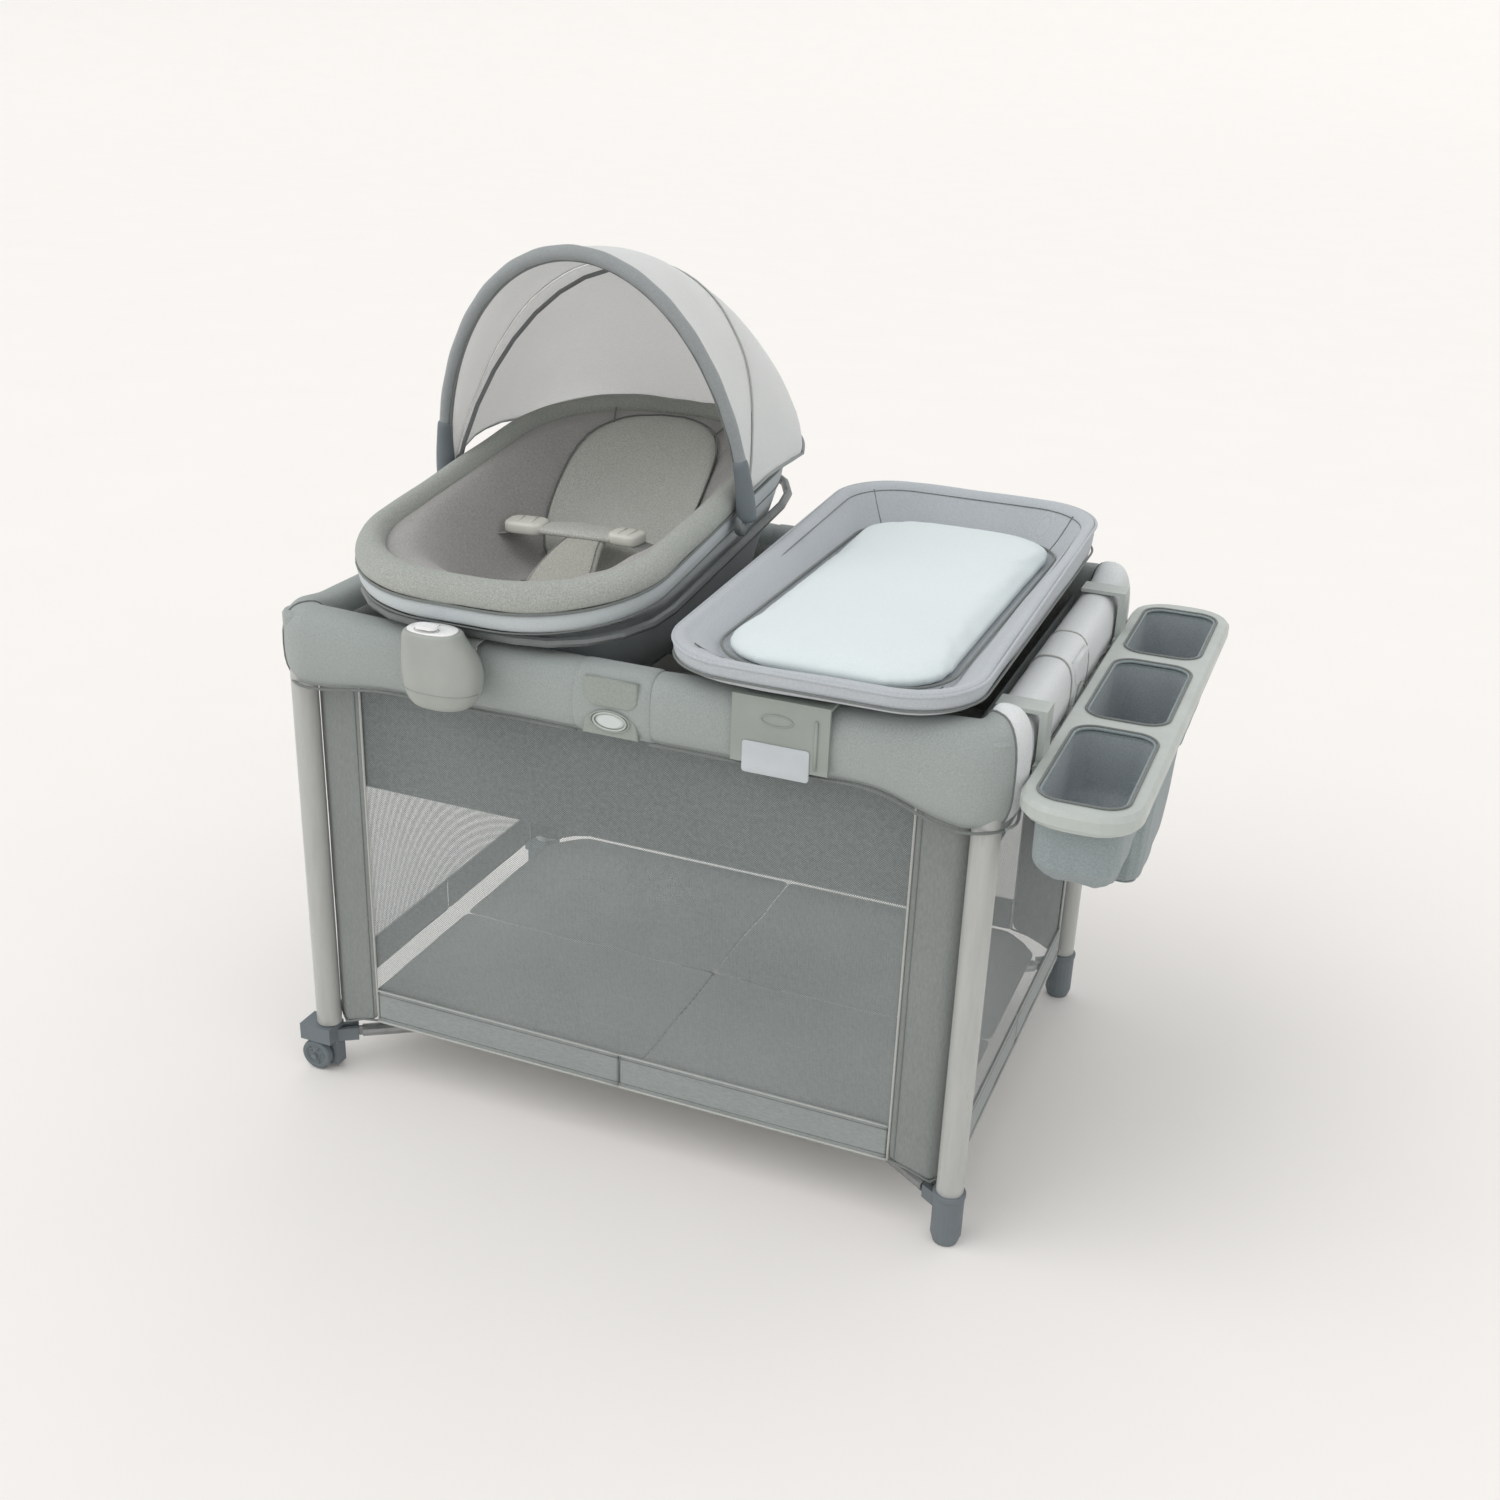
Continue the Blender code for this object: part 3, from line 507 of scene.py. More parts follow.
def inflate(obj, voxel, pressure, most, frames=20):
    """Blows a closed soft shape up with cloth simulation, within a limit for each point, and smooths it."""
    remesh = obj.modifiers.new("remesh", "REMESH")
    remesh.mode = "VOXEL"
    remesh.voxel_size = voxel
    remesh.use_smooth_shade = True
    apply_modifiers(obj)
    rest = [v.co.copy() for v in obj.data.vertices]
    made = obj.modifiers.new("cloth", "CLOTH")
    settings = made.settings
    settings.quality = 5
    settings.mass = 0.3
    settings.tension_stiffness = 25
    settings.compression_stiffness = 25
    settings.shear_stiffness = 10
    settings.bending_stiffness = 3
    settings.use_pressure = True
    settings.uniform_pressure_force = pressure
    settings.effector_weights.gravity = 0
    made.collision_settings.use_collision = False
    made.point_cache.frame_start = 1
    made.point_cache.frame_end = frames
    for step in range(1, frames + 1):
        bpy.context.scene.frame_set(step)
    apply_modifiers(obj)
    bpy.context.scene.frame_set(1)
    for vertex, start in zip(obj.data.vertices, rest):
        moved = vertex.co - start
        if moved.length > most:
            vertex.co = start + moved.normalized() * most
    for polygon in obj.data.polygons:
        polygon.use_smooth = True
    return soften(obj)


def apply_modifiers(obj):
    """Replaces the mesh with what its modifiers make of it."""
    graph = bpy.context.evaluated_depsgraph_get()
    graph.update()
    made = bpy.data.meshes.new_from_object(obj.evaluated_get(graph))
    obj.modifiers.clear()
    old = obj.data
    obj.data = made
    bpy.data.meshes.remove(old)


# ---------------------------------------------------------------- hard parts that stay as modelled

def dress(node, material, edge=0.0, segments=2):
    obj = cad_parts[node]
    obj.data.materials.clear()
    obj.data.materials.append(material)
    if edge:
        round_edges(obj, edge, segments)
    return obj


def frame_parts():
    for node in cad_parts:
        if node.startswith("latch_button"):
            dress(node, latch_button_plastic, 0.0012)
        elif node.startswith("latch_") or node.startswith("wheel_housing") or node.startswith("foot_"):
            dress(node, dark_plastic, 0.0015)
        elif node.startswith("corner_"):
            dress(node, rail_cloth, 0.0012)
        elif node.startswith("rail_") and not node.startswith("rail_cover"):
            dress(node, steel, 0.0008)
        elif node.startswith("floor_arm"):
            dress(node, steel, 0.0008)
    dress("floor_hub", dark_plastic, 0.0012)
    for node in ("bassinet_floor_frame", "changer_frame_ring"):
        dress(node, steel)
    # The seat's frame ring is dressed dark as painted shade, so that it reads as shadow round the seat; the
    # bows are this dark steel themselves.
    for node in ("canopy_front_bow", "canopy_mid_bow", "seat_frame_ring"):
        dress(node, bow_steel_and_shade)
    dress("seat_rear_hook", grey_plastic, 0.0015)
    dress("module_button", button_white, 0.001)


def legs():
    for side, sy in SIDES:
        for end, sx in ENDS:
            foot = (sx * LEG_X, sy * LEG_Y, 0)
            low, high, r = LEG_LOW, LEG_HIGH, LEG_RADIUS
            profile = (
                (r - 0.0016, low), (r - 0.0004, low + 0.0006), (r, low + 0.002), (r, low + 0.02),
                (r, high - 0.3), (r, high - 0.002), (r - 0.0004, high - 0.0006), (r - 0.0016, high),
            )
            leg = lathe(f"tube_{side}_{end}", foot, profile, leg_paint)
            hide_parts(f"leg_{side}_{end}")
            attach(leg, f"leg_{side}_{end}")
            if sx > 0:
                collar = lathe(
                    f"foot_collar_{side}", foot,
                    (
                        (0.0208, 0.0700), (0.0216, 0.0712), (0.0218, 0.0735), (0.0218, 0.0765),
                        (0.0210, 0.0782), (0.0186, 0.0786),
                    ),
                    dark_plastic,
                )
                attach(collar, f"leg_{side}_{end}")


def wheels():
    """Each wheel: a rounded tread, a face with a raised rim and spokes' ribs, and a cap."""
    for side, sy in SIDES:
        node = f"wheel_{side}_left"
        centre, half = middle(node), half_sizes(node)
        r, w = half.z, half.y
        profile = (
            (0.006, -w), (r * 0.30, -w), (r * 0.34, -w + 0.0015), (r * 0.60, -w + 0.0022),
            (r * 0.66, -w + 0.0004), (r * 0.90, -w + 0.0002), (r * 0.965, -w + 0.0016),
            (r * 0.995, -w + 0.0045), (r, 0.0), (r * 0.995, w - 0.0045), (r * 0.965, w - 0.0016),
            (r * 0.90, w - 0.0002), (r * 0.66, w - 0.0004), (r * 0.60, w - 0.0022),
            (r * 0.34, w - 0.0015), (r * 0.30, w), (0.006, w),
        )
        wheel = lathe(f"castor_{side}", centre, profile, wheel_plastic, 48, "y")
        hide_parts(node)
        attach(wheel, node)
        for i in range(5):
            turn = 2 * pi * i / 5
            way = Vector((cos(turn), 0, sin(turn)))
            rib = tube(
                f"castor_rib_{side}_{i}",
                [centre + way * r * s + Vector((0, sy * (w - 0.0026), 0)) for s in (0.32, 0.48, 0.64)],
                0.0022, wheel_plastic,
            )
            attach(rib, node)


# ---------------------------------------------------------------- sleeves over the rails

CORNER_RADIUS = 0.030
SLEEVE_START = 0.050
SLEEVE_POINTS = 28
SLEEVE_SQUARE = 2.7
STRAIGHT_STEPS = 16
LATCH_SLEEVE_HALF = 0.0525
SEAM_TURN = {"left": radians(45), "right": radians(58)}


def sleeve_ring(place, way, outer, inner, low, high):
    """One ring round a rail, from its reach to either side of the rail's line and its low and high points."""
    out = Vector((way.y, -way.x, 0))
    row = []
    for turn in turns(SLEEVE_POINTS):
        a, b = squarish(turn, SLEEVE_SQUARE)
        reach = outer if a > 0 else inner
        height = between(low, high, 0.5) + (high - low) / 2 * b
        row.append(Vector((place.x, place.y, 0)) + out * reach * a + UP * height)
    return row


def sleeve_stations(side_sign, end_sign, long_side, seam):
    """Points on the rail's line from the latch to the corner's seam: place, way, distance left, and turn."""
    half = LEG_X if long_side else LEG_Y
    other = LEG_Y if long_side else LEG_X
    centre_along, centre_off = half - CORNER_RADIUS, other - CORNER_RADIUS
    stations = [(along, other, 0.0) for along in run(SLEEVE_START, centre_along, STRAIGHT_STEPS)]
    for turn in run(0.0, seam, 7)[1:]:
        stations.append(
            (centre_along + CORNER_RADIUS * sin(turn), centre_off + CORNER_RADIUS * cos(turn), turn)
        )
    placed = []
    for along, off, turn in stations:
        if long_side:
            place = Vector((end_sign * along, side_sign * off, 0))
            way = Vector((end_sign * cos(turn), -side_sign * sin(turn), 0))
            flip = -1 if end_sign * side_sign > 0 else 1
        else:
            place = Vector((end_sign * off, side_sign * along, 0))
            way = Vector((-end_sign * sin(turn), side_sign * cos(turn), 0))
            flip = 1 if end_sign * side_sign > 0 else -1
        placed.append((place, way * flip, half - along, turn))
    return placed


def sleeve_size(gone, long_side, end, turn):
    """Outer and inner reach, low and high of a sleeve at a distance from its corner."""
    grow = eased((0.150 - gone) / 0.125) if long_side else eased((0.072 - gone) / 0.050)
    strong = 1.0 if end == "right" else 0.45
    outer = COVER_HALF + 0.0002 + (0.0030 + 0.0050 * strong) * grow
    inner = COVER_HALF + 0.0002 - 0.003 * grow
    if turn > 0:
        inner = min(inner, CORNER_RADIUS - 0.0025)
    low = COVER_LOW + 0.002 - 0.030 * grow * strong
    high = COVER_HIGH - 0.0003 + 0.012 * grow * strong
    if end == "right":
        from_end = pi / 2 - turn if long_side else turn
        wing = 1.0 - eased(from_end / 1.2)
        if not long_side:
            wing *= eased((0.066 - gone) / 0.022)
        high += 0.016 * wing
        inner = between(inner, 0.020, wing)
    return outer, inner, low, high


def crinkled(p, place):
    """A point of the ring round place, moved a little by two grains."""
    return p + UP * grained(p, 18, 0.0009) + (p - place).normalized() * grained(p, 11, 0.0008)


def half_sleeve(side, sy, end, sx, long_side):
    seam = pi / 2 - SEAM_TURN[end] if not long_side else SEAM_TURN[end]
    stations = sleeve_stations(sy, sx, long_side, seam)
    rows = []
    for place, way, gone, turn in stations:
        outer, inner, low, high = sleeve_size(gone, long_side, end, turn)
        row = sleeve_ring(place, way, outer, inner, low, high)
        rows.append([crinkled(p, place) for p in row])
    first_place, first_way, first_gone, _ = stations[0]
    outer, inner, low, high = sleeve_size(first_gone, long_side, end, 0)
    toward = (stations[0][0] - stations[1][0]).normalized()
    for pull, shift in ((0.004, 0.0010), (0.012, 0.0020)):
        place = first_place + toward * shift
        rows.insert(0, sleeve_ring(place, first_way, outer - pull, inner - pull, low + pull, high - pull))
    material = end_cloth if end == "right" and not long_side else rail_cloth
    name = f"sleeve_{side}_{end}" if long_side else f"sleeve_{end}_{side}"
    made = soften(skin(name, rows, material, loop=True))
    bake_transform(made)
    hem_rows = []
    for place, way, gone, turn in stations:
        outer, _, low, _ = sleeve_size(gone, long_side, end, turn)
        out = Vector((way.y, -way.x, 0))
        hem_rows.append(Vector((place.x, place.y, low + 0.0035)) + out * (outer * 0.80))
    edging = piping_cloth if end == "left" or long_side else pale_piping
    piping = tube(f"{name}_piping", hem_rows, 0.0020, edging)
    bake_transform(piping)
    return made, rows[-1]


def rail_sleeves():
    covers = {"front": None, "back": None, "left": None, "right": None}
    for side, sy in SIDES:
        for end, sx in ENDS:
            long_one, ends = half_sleeve(side, sy, end, sx, True)
            short_one, _ = half_sleeve(side, sy, end, sx, False)
            centre = sum(ends, Vector()) / len(ends)
            path = [p + (p - centre).normalized() * 0.0004 for p in ends]
            seam = tube(f"corner_seam_{side}_{end}", path, 0.0013, piping_cloth, closed=True, sides=6)
            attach(seam, f"leg_{side}_{end}")
            covers[side] = covers[side] or long_one
            covers[end] = covers[end] or short_one
    for name, made in covers.items():
        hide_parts(f"rail_cover_{name}")
    for name, sign in SIDES:
        latch_sleeve(name, True, sign)
    for name, sign in ENDS:
        latch_sleeve(name, False, sign)


def latch_sleeve(name, long_side, sign):
    """The short sleeve over a centre latch, with a darker notch over its oval button and an arch round it."""
    half = LATCH_SLEEVE_HALF
    low, high = COVER_LOW + 0.002, COVER_HIGH - 0.0003

    def at(along, out, z):
        off = sign * ((LEG_Y if long_side else LEG_X) + out)
        return Vector((along, off, z)) if long_side else Vector((off, along, z))

    rows = []
    stations = [(-half, 0.006), (-half - 0.0012, 0.002)]
    stations += [(along, -0.0009) for along in run(-half, half, 8)]
    stations += [(half + 0.0012, 0.002), (half, 0.006)]
    for along, pull in stations:
        row = []
        for turn in turns(SLEEVE_POINTS):
            a, b = squarish(turn, SLEEVE_SQUARE)
            row.append(at(along, (COVER_HALF - pull) * a, (low + high) / 2 + ((high - low) / 2 - pull) * b))
        rows.append(row)
    cover = end_cloth if name == "right" else rail_cloth
    made = soften(skin(f"sleeve_{name}_middle", rows, cover, loop=True))
    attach(made, f"latch_{name}")
    for letter, edge in (("a", -half), ("b", half)) if name == "right" else ():
        loop = []
        for turn in turns(SLEEVE_POINTS):
            a, b = squarish(turn, SLEEVE_SQUARE)
            height = (COVER_LOW + COVER_HIGH) / 2 + 0.001 + ((COVER_HIGH - COVER_LOW) / 2 - 0.0008) * b
            loop.append(at(edge, (COVER_HALF + 0.0004) * a, height))
        binding = tube(f"latch_edge_{name}_{letter}", loop, 0.0011, pale_piping, closed=True, sides=6)
        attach(binding, f"latch_{name}")
    face = COVER_HALF + 0.0006
    inset = end_cloth if name == "right" else latch_cloth

    def patch(title, outline, depth, material):
        """A slightly raised pad with a rounded edge that stands on the sleeve's outer face."""
        middle_x = sum(p[0] for p in outline) / len(outline)
        middle_z = sum(p[1] for p in outline) / len(outline)
        levels = []
        for share, out in (
            (1.0, -0.006), (1.0, depth * 0.5), (0.95, depth * 0.9), (0.86, depth), (0.4, depth + 0.0004)
        ):
            levels.append(
                [
                    at(middle_x + (x - middle_x) * share, face + out, middle_z + (z - middle_z) * share)
                    for x, z in outline
                ]
            )
        pad = skin(title, levels, material, loop=True, caps=True)
        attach(pad, f"latch_{name}")

    top, wide, corner = COVER_HIGH - 0.010, 0.036, 0.016
    notch_z, arch_z, foot_z = 0.690, 0.650, 0.6375
    notch = [(-wide, top), (-wide, notch_z)]
    notch += [(corner - wide - corner * cos(t), notch_z - 0.014 * sin(t)) for t in run(0.3, pi / 2, 5)]
    notch += [
        (wide - corner + corner * sin(t), notch_z - 0.014 * cos(t)) for t in run(0.0, pi / 2 - 0.3, 5)
    ]
    notch += [(wide, notch_z), (wide, top)]
    patch(f"latch_notch_{name}", notch, 0.0016, inset)
    button = middle(f"latch_button_{name}")
    arch = [(-0.038, foot_z), (-wide, arch_z)]
    arch += [(wide * -cos(t), arch_z + 0.0205 * sin(t)) for t in run(0.35, pi - 0.35, 10)]
    arch += [(wide, arch_z), (0.038, foot_z)]
    patch(f"latch_arch_{name}", arch, 0.0014, inset)
    bezels = (("outer", 1.34, 0.0024, clip_plastic), ("inner", 1.12, 0.0030, grey_plastic))
    for title, size, reach, material in bezels:
        oval = [
            at(0.020 * size * cos(t), face + reach, button.z + 0.010 * size * sin(t)) for t in turns(28)
        ]
        bezel = tube(f"button_bezel_{name}_{title}", oval, 0.0013, material, closed=True, sides=6)
        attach(bezel, f"latch_{name}")


# ---------------------------------------------------------------- the yard's cloth and net

CLOTH_OUT = 0.0012
STRIP_LEVELS = 18


def wall_point(along_x, sign, along, z, inward=0.0):
    """A point on a wall: along_x is true for the long walls, and along runs from the middle of the wall."""
    if along_x:
        return Vector((along, sign * (LEG_Y - CLOTH_OUT - inward), z))
    return Vector((sign * (LEG_X - CLOTH_OUT - inward), along, z))


def corner_strip(side, sy, end, sx):
    """The stout cloth that wraps a leg, from the long wall's net across the corner to the end wall's net."""
    plan = [
        (STRIP_EDGE_X, LEG_Y - CLOTH_OUT), (LEG_X - 0.060, LEG_Y - CLOTH_OUT),
        (LEG_X - 0.036, LEG_Y - CLOTH_OUT),
    ]
    plan += [
        (LEG_X - 0.029, LEG_Y - 0.0030), (LEG_X - 0.016, LEG_Y - 0.0145),
        (LEG_X - 0.0030, LEG_Y - 0.0270),
    ]
    plan += [
        (LEG_X - CLOTH_OUT, LEG_Y - 0.036), (LEG_X - CLOTH_OUT, LEG_Y - 0.048),
        (LEG_X - CLOTH_OUT, STRIP_EDGE_Y),
    ]
    gaps = [hypot(plan[i][0] - plan[i - 1][0], plan[i][1] - plan[i - 1][1]) for i in range(1, len(plan))]
    length = sum(gaps)
    rows = []
    gone = 0.0
    for i, (x, y) in enumerate(plan):
        gone += gaps[i - 1] if i else 0.0
        share = min(1.0, 1.6 * min(gone, length - gone) / length)
        bottom = HEM_LOW - 0.030 * share ** 1.7
        rows.append([Vector((sx * x, sy * y, z)) for z in run(bottom, YARD_HIGH + 0.006, STRIP_LEVELS)])
    for row in rows[1:-1]:
        for p in row:
            p.x += grained(p, 9, 0.0012)
            p.y += grained(p + Vector((5, 0, 0)), 9, 0.0012)
    made = soften(thicken(skin(f"corner_strip_{side}_{end}", rows, strip_cloth), 0.0018, 0.0))
    body = f"leg_{side}_{end}"
    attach(made, body)
    out = Vector((sx * 0.0012, sy * 0.0012, 0))
    edges = (
        ("long", [p + out for p in rows[0]], pale_piping),
        ("short", [p + out for p in rows[-1]], pale_piping),
        ("low", [row[0] + out / 2 + UP * 0.001 for row in rows], piping_cloth),
    )
    for title, path, material in edges:
        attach(tube(f"strip_binding_{title}_{side}_{end}", path, 0.0017, material), body)
    stitches = [p + Vector((sx * 0.010, sy * 0.0012, 0)) for p in rows[0]]
    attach(tube(f"strip_seam_{side}_{end}", stitches, 0.0007, piping_cloth, sides=5), body)
    return made


def half_wall(title, along_x, sign, toward, body, edge):
    """Net and hem of half a wall, from its middle to the corner strip."""
    steps = run(0.0, edge, 14)

    def sway(along, z, size):
        middle_share = sin(pi * min(1.0, (z - HEM_HIGH) / (YARD_HIGH - HEM_HIGH)))
        hang = size * middle_share * cos(0.5 * pi * along / edge)
        return hang + grained((along * 4, z * 3, sign), 2, 0.0006)

    rows = [[wall_point(along_x, sign, toward * a, z, NET_GAP + sway(a, z, 0.002)) for a in steps]
            for z in run(HEM_HIGH - 0.006, YARD_HIGH + 0.004, 14)]
    panel = skin(f"net_{title}", rows, wall_net)
    hem_rows = []
    for z, out in (
        (HEM_LOW, 0.0006), (HEM_LOW + 0.0022, -0.0010), (HEM_LOW + 0.018, -0.0013),
        (HEM_HIGH - 0.016, -0.0013), (HEM_HIGH - 0.0022, -0.0010), (HEM_HIGH, 0.0006),
    ):
        hem_rows.append(
            [
                wall_point(along_x, sign, toward * a, z, out + grained((a * 5, z * 9, sign), 3, 0.0009))
                for a in steps
            ]
        )
    hem = soften(thicken(skin(f"hem_{title}", hem_rows, hem_cloth), 0.0022, 0.0))
    parts = [panel, hem]
    for z, radius, skin_material in (
        (HEM_LOW + 0.0012, 0.0019, pale_piping), (HEM_HIGH - 0.0012, 0.0014, pale_piping),
        (HEM_LOW + 0.0080, 0.0006, piping_cloth), (HEM_HIGH - 0.0070, 0.0006, piping_cloth),
    ):
        path = [wall_point(along_x, sign, toward * a, z, -0.0022) for a in steps]
        parts.append(tube(f"hem_line_{title}_{round(z * 10000)}", path, radius, skin_material, sides=6))
    for part in parts:
        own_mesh(part)
        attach(part, body)


def yard_floor(side, sy, end, sx):
    """A quarter of the yard's cloth floor, slack enough to show soft ripples."""
    rows = []
    half_x, half_y = LEG_X - 0.034, LEG_Y - 0.006
    for from_middle in run(0.0, half_x, 24):
        row = []
        for y in run(0.0, half_y, 18):
            x = from_middle
            inset = max(0.0, (x - (half_x - 0.028)) + (y - (half_y - 0.028)))
            x, y = x - inset / 2, y - inset / 2
            edge = min(1.0, min(half_x - x, half_y - y) / 0.05)
            phase = 26 * x * sx + 17 * y * sy + 3 * grained((x, y, 0), 6, 1.0)
            ripple = 0.0032 * sin(phase) + grained((x * sx, y * sy, 1), 14, 0.003)
            row.append(Vector((sx * x, sy * y, YARD_LOW + 0.0095 + ripple * edge * 0.8)))
        rows.append(row)
    made = soften(thicken(skin(f"yard_floor_{side}_{end}", rows, floor_cloth), 0.003, -0.5))
    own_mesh(made)
    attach(made, f"arm_{side}_{end}")


def yard_cloth():
    first = None
    for side, sy in SIDES:
        for end, sx in ENDS:
            strip = corner_strip(side, sy, end, sx)
            first = first or strip
            half_wall(f"{side}_{end}", True, sy, sx, f"leg_{side}_{end}", STRIP_EDGE_X + 0.0004)
            half_wall(f"{end}_{side}", False, sx, sy, f"leg_{side}_{end}", STRIP_EDGE_Y + 0.0004)
            yard_floor(side, sy, end, sx)
    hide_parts("fabric_enclosure")


# ---------------------------------------------------------------- bassinet insert and mattress

def bassinet():
    half_x, half_y = INSERT_HIGH.x, INSERT_HIGH.y
    low, high = INSERT_LOW.z, INSERT_HIGH.z
    radius = 0.030

    def level(z, pull):
        return inset_ring(0.0, half_x, half_y, pull, radius, z, 8, 26)

    outer = [level(z, 0.0005) for z in run(low + 0.004, high, 12)]
    outer.insert(0, level(low + 0.0005, 0.006))
    for row in outer[2:-1]:
        for p in row:
            strength = 1 if abs(p.x) < half_x - 0.01 else 0.5
            inward = 0.0015 if p.x > 0 else -0.0015
            p.x += grained(p, 5, 0.004) * strength - inward
            p.y += grained(p + Vector((3, 1, 0)), 5, 0.004) - (0.002 if p.y > 0 else -0.002)
    wall = thicken(skin("insert_wall", outer, insert_cloth, lining_cloth, loop=True), 0.0022, -1.0, 1)
    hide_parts("bassinet_insert")
    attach(wall, "bassinet")
    plate = []
    for pull in (0.0065, 0.02, 0.10, 0.20, 0.285):
        bend = max(0.004, radius - pull * 0.09)
        plate.append(inset_ring(0.0, half_x, half_y, pull, bend, low + 0.0008, 8, 26))
    base = thicken(skin("insert_base", plate, insert_cloth, loop=True), 0.0024, 1.0)
    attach(base, "bassinet")
    path = inset_ring(0.0, half_x, half_y, 0.001, radius, low + 0.003, 8, 20)
    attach(tube("insert_edge", path, 0.0026, piping_cloth, closed=True), "bassinet")
    bed_x, bed_y = BED_HIGH.x, BED_HIGH.y
    rows = []
    for pull, z in (
        (0.030, 0.0004), (0.010, 0.0004), (0.004, 0.004), (0.0025, 0.0125), (0.004, 0.0205),
        (0.010, 0.0238), (0.030, 0.0248), (0.10, 0.0250), (0.20, 0.0250),
    ):
        rows.append(
            inset_ring(0.0, bed_x, bed_y, pull, max(0.006, 0.035 - pull * 0.1), BED_LOW.z + z, 6, 10)
        )
    bed = skin("mattress_pad", rows, bed_cloth, loop=True, caps=True)
    soften(bed)
    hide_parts("mattress")
    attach(bed, "bassinet")
    seam = inset_ring(0.0, bed_x, bed_y, 0.0008, 0.034, BED_LOW.z + 0.0125, 6, 10)
    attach(tube("mattress_piping", seam, 0.0018, piping_cloth, closed=True), "bassinet")
    for i, x in enumerate((-0.218, 0.0, 0.218)):
        path = [(x, y, BED_HIGH.z + 0.0001) for y in run(-bed_y + 0.016, bed_y - 0.016, 12)]
        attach(tube(f"mattress_fold_{i}", path, 0.0010, piping_cloth, sides=5), "bassinet")


# ---------------------------------------------------------------- infant seat

def tilted(z, tilt=SEAT_TILT):
    return lambda y: z + tilt * (y - SEAT_FOOT_Y)


def seat_ring(half_x, front, back, radius, z, tilt=SEAT_TILT):
    return ring(SEAT.x, half_x, front, back, radius, tilted(z, tilt), 12, 8)


RIM_OUTSIDE = (0.2165, -0.3855, 0.3305, 0.172)
RIM_INSIDE = (0.184, -0.350, 0.297, 0.150)


def seat_rim_point(share, z, grow=0.0):
    """One ring of the padded rim: share 0 is its outer edge and 1 its inner edge."""
    sizes = [between(a, b, share) for a, b in zip(RIM_OUTSIDE, RIM_INSIDE)]
    return seat_ring(sizes[0] + grow, sizes[1] - grow, sizes[2] + grow, sizes[3] + grow, z)


SEAT_BASE = (0.1255, -0.1955, 0.1805, 0.090)  # half width, front, back and corner radius


def seat_band_shell():
    rings = [
        seat_ring(*SEAT_BASE, 0.6148, 0.0),
        seat_ring(0.150, -0.233, 0.222, 0.105, 0.6415, 0.0),
        seat_ring(0.172, -0.270, 0.262, 0.120, 0.672, 0.0),
        seat_ring(0.183, -0.285, 0.279, 0.132, 0.706, 0.012),
        seat_ring(0.192, -0.300, 0.293, 0.142, 0.734, 0.035),
        seat_ring(0.204, -0.345, 0.312, 0.158, 0.744, 0.085),
        seat_ring(0.2125, -0.378, 0.325, 0.169, 0.752),
        seat_ring(0.2160, -0.3845, 0.3295, 0.171, 0.762),
        seat_ring(0.2168, -0.3855, 0.3305, 0.172, 0.772),
        seat_ring(0.2150, -0.3838, 0.3288, 0.170, 0.7795),
    ]
    for row in rings[2:-1]:
        for p in row:
            swell = grained(p, 13, 0.0016)
            p.x += swell
            p.y += grained(p + Vector((2, 0, 0)), 13, 0.0012)
    shell = soften(thicken(skin("seat_band", rings, seat_band, loop=True), 0.002))
    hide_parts("seat_shell")
    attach(shell, "seat")
    base = [seat_ring(*(size * s for size in SEAT_BASE), 0.6146, 0.0) for s in (1.0, 0.8, 0.4, 0.05)]
    bottom = thicken(skin("seat_base", base, seat_band, loop=True), 0.0018)
    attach(bottom, "seat")
    seam = [p + Vector((0, 0, 0.0005)) for p in seat_ring(0.2168, -0.3857, 0.3307, 0.172, 0.7795)]
    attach(tube("seat_band_piping", seam, 0.0021, piping_cloth, closed=True), "seat")
    low_seam = seat_ring(0.2136, -0.3795, 0.3262, 0.169, 0.7525)
    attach(tube("seat_band_seam", low_seam, 0.0010, piping_cloth, closed=True, sides=6), "seat")


def padded_rim():
    profile = (
        (0.02, 0.7800, 0.0), (-0.02, 0.7850, 0.0005), (-0.05, 0.7920, 0.0010), (0.00, 0.8010, 0.0005),
        (0.16, 0.8085, 0.0), (0.38, 0.8128, 0.0), (0.62, 0.8128, 0.0), (0.82, 0.8085, 0.0),
        (0.96, 0.8015, 0.0), (1.02, 0.7930, 0.0), (0.98, 0.7860, 0.0), (0.80, 0.7815, 0.0),
        (0.40, 0.7800, 0.0),
    )
    rings = [seat_rim_point(share, z, grow) for share, z, grow in profile]
    for row in rings:
        for p in row:
            lift = grained(p, 16, 0.0028) + grained(p, 40, 0.0010)
            p.z += lift
    rings.append(rings[0])
    rim = soften(skin("seat_rim", rings, seat_rim_knit, loop=True))
    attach(rim, "seat")


def liner_height(x, y):
    """The seat's inner surface: steep sides, a deep place for the hips, and a back that slopes up."""
    half_x, front, back, _ = RIM_INSIDE
    centre_y, half_y = (front + back) / 2, (back - front) / 2
    across, along = (x - SEAT.x) / half_x, (y - centre_y) / half_y
    reach = min(1.0, (abs(across) ** 2.6 + abs(along) ** 2.6) ** (1 / 2.6))
    fall = eased((1.0 - reach) / 0.50)
    deep = 0.132 - 0.062 * eased((y - 0.0) / 0.24) - 0.038 * eased((-0.13 - y) / 0.18)
    return tilted(0.795)(y) - deep * fall


